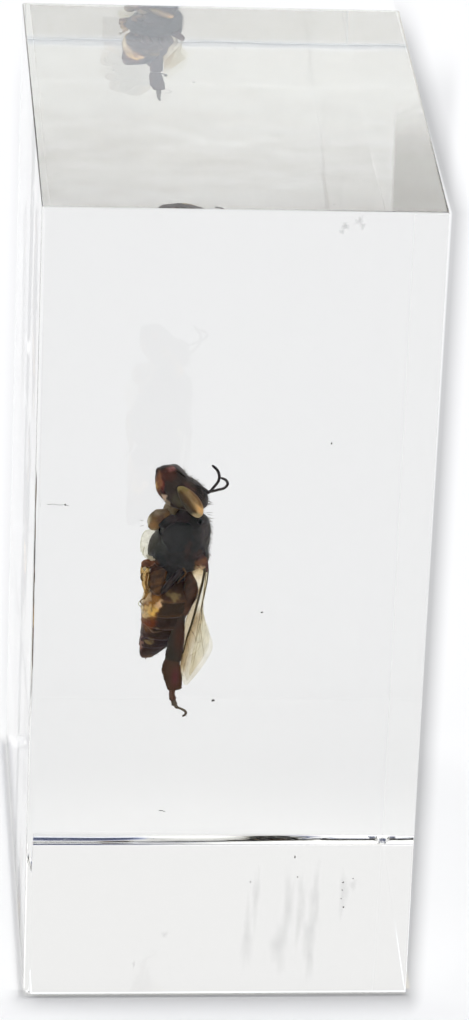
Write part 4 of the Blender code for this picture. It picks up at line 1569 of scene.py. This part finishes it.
def make_specks():
    specks = Shape()
    for u, v, y, a, b, c in (
            (213.3, 699.0, 1.6, 0.115, 0.05, 0.085), (212.0, 699.7, 1.6, 0.05, 0.03, 0.03), (262.0, 610.0, 1.5, 0.085, 0.05, 0.055),
            (330.0, 443.0, 1.5, 0.050, 0.04, 0.070), (66.5, 503.4, 1.5, 0.060, 0.04, 0.060), (160.0, 812.0, 1.5, 0.150, 0.04, 0.026),
            (163.5, 812.8, 1.5, 0.080, 0.04, 0.022), (347.0, 888.0, -17.2, 0.050, 0.03, 0.060), (346.0, 896.0, -17.2, 0.045, 0.03, 0.045),
            (357.0, 884.0, -17.2, 0.040, 0.03, 0.040), (347.5, 914.0, -17.2, 0.055, 0.03, 0.055), (345.0, 905.0, -17.2, 0.035, 0.03, 0.035),
            (297.0, 861.0, -17.2, 0.045, 0.03, 0.110), (300.0, 882.0, -17.2, 0.045, 0.03, 0.045), (251.5, 887.0, -17.2, 0.035, 0.03, 0.050)):
        specks.blob(P(u, v, y), (a, b, c), rough=0.25, seed=int(u + v), level=2, skin=(0.1, 0.1, 0.1))
    specks.blob(np.array((-7.2, 5.7, 54.95)), (0.10, 0.10, 0.03), rough=0.25, seed=5, level=2, skin=(0.1, 0.1, 0.1))
    fibre = smooth([(*P(u, v, 1.5), 0.014, 0.014) for u, v in ((49, 503.2), (55, 502.8), (60, 503.6), (66, 503.4), (70, 504.4))], 20)
    specks.tube(fibre, sides=6, skin=(0.1, 0.1, 0.1))
    specks.build("dust_specks", speck_material())

    # Handling marks on the front face, a few thousandths of a millimetre in front of it.
    point, normal = GROUND_FACES[0]
    point, normal = (Vector(point) + CENTRING) * 1000, Vector(normal).normalized()

    def on_face(x, z, lift):
        return (x, point.y - ((x - point.x) * normal.x + (z - point.z) * normal.z) / normal.y - lift, z)

    marks = Shape()
    # centre u, v on the face; half width and height in mm; tilt; strength
    for u, v, a, b, tilt, amount in (
            (248, 945, 0.40, 2.9, 0, 0.12), (257, 905, 0.28, 2.8, 1, 0.10), (281, 955, 0.60, 2.2, 0, 0.13), (290, 915, 0.38, 3.4, 1, 0.12),
            (303, 915, 0.34, 3.0, 1, 0.11), (313, 950, 0.50, 3.0, 1, 0.14), (318, 905, 0.40, 2.6, 0, 0.11), (347, 900, 0.35, 1.9, 0, 0.12),
            (357, 891, 0.30, 0.5, 0, 0.12), (341, 236, 0.26, 0.30, 20, 0.26), (338, 241, 0.20, 0.20, 0, 0.22), (355, 231, 0.30, 0.36, 20, 0.17),
            (358, 236, 0.20, 0.28, 0, 0.17), (131, 973, 0.12, 0.30, 0, 0.16), (163, 941, 0.30, 0.30, 0, 0.10)):
        centre = P(u, v, -17.45 - forwards(v))
        rings, spokes = 7, 28
        points = []
        strength = []
        for lift in (0.004, 0.007):
            points.append(on_face(centre[0], centre[2], lift))
            strength.append(amount)
            for i in range(1, rings + 1):
                q = i / rings
                for j in range(spokes):
                    t = 2 * math.pi * j / spokes
                    r = q * (1 + 0.22 * math.sin(3 * t + u) + 0.12 * math.sin(7 * t + v))
                    dx, dz = a * r * math.cos(t), b * r * math.sin(t)
                    lean_to = math.radians(tilt)
                    points.append(on_face(centre[0] + dx * math.cos(lean_to) + dz * math.sin(lean_to),
                                          centre[2] - dx * math.sin(lean_to) + dz * math.cos(lean_to), lift))
                    strength.append(amount * (1 - q * q) ** 1.5)
        n_ = 1 + rings * spokes
        faces = []
        for side in (0, 1):
            o = side * n_
            for j in range(spokes):
                k = (j + 1) % spokes
                tri = (o, o + 1 + j, o + 1 + k)
                faces.append(tri if side else tri[::-1])
                for i in range(rings - 1):
                    quad = (o + 1 + i * spokes + j, o + 1 + (i + 1) * spokes + j, o + 1 + (i + 1) * spokes + k, o + 1 + i * spokes + k)
                    faces.append(quad if side else quad[::-1])
        last = 1 + (rings - 1) * spokes
        for j in range(spokes):
            k = (j + 1) % spokes
            faces.append((last + j, last + k, n_ + last + k, n_ + last + j))
        marks.add(np.array(points), faces, skin=(0.4, 0.4, 0.4), thin=np.array(strength)[:, None])
    marks.build("handling_marks", smear_material())


# ---------------------------------------------------------------- build
make_studio()
make_block()
make_haze_and_painted_shade()
make_head()
make_thorax()
make_abdomen()
make_legs()
make_wings()
make_hair()
make_specks()
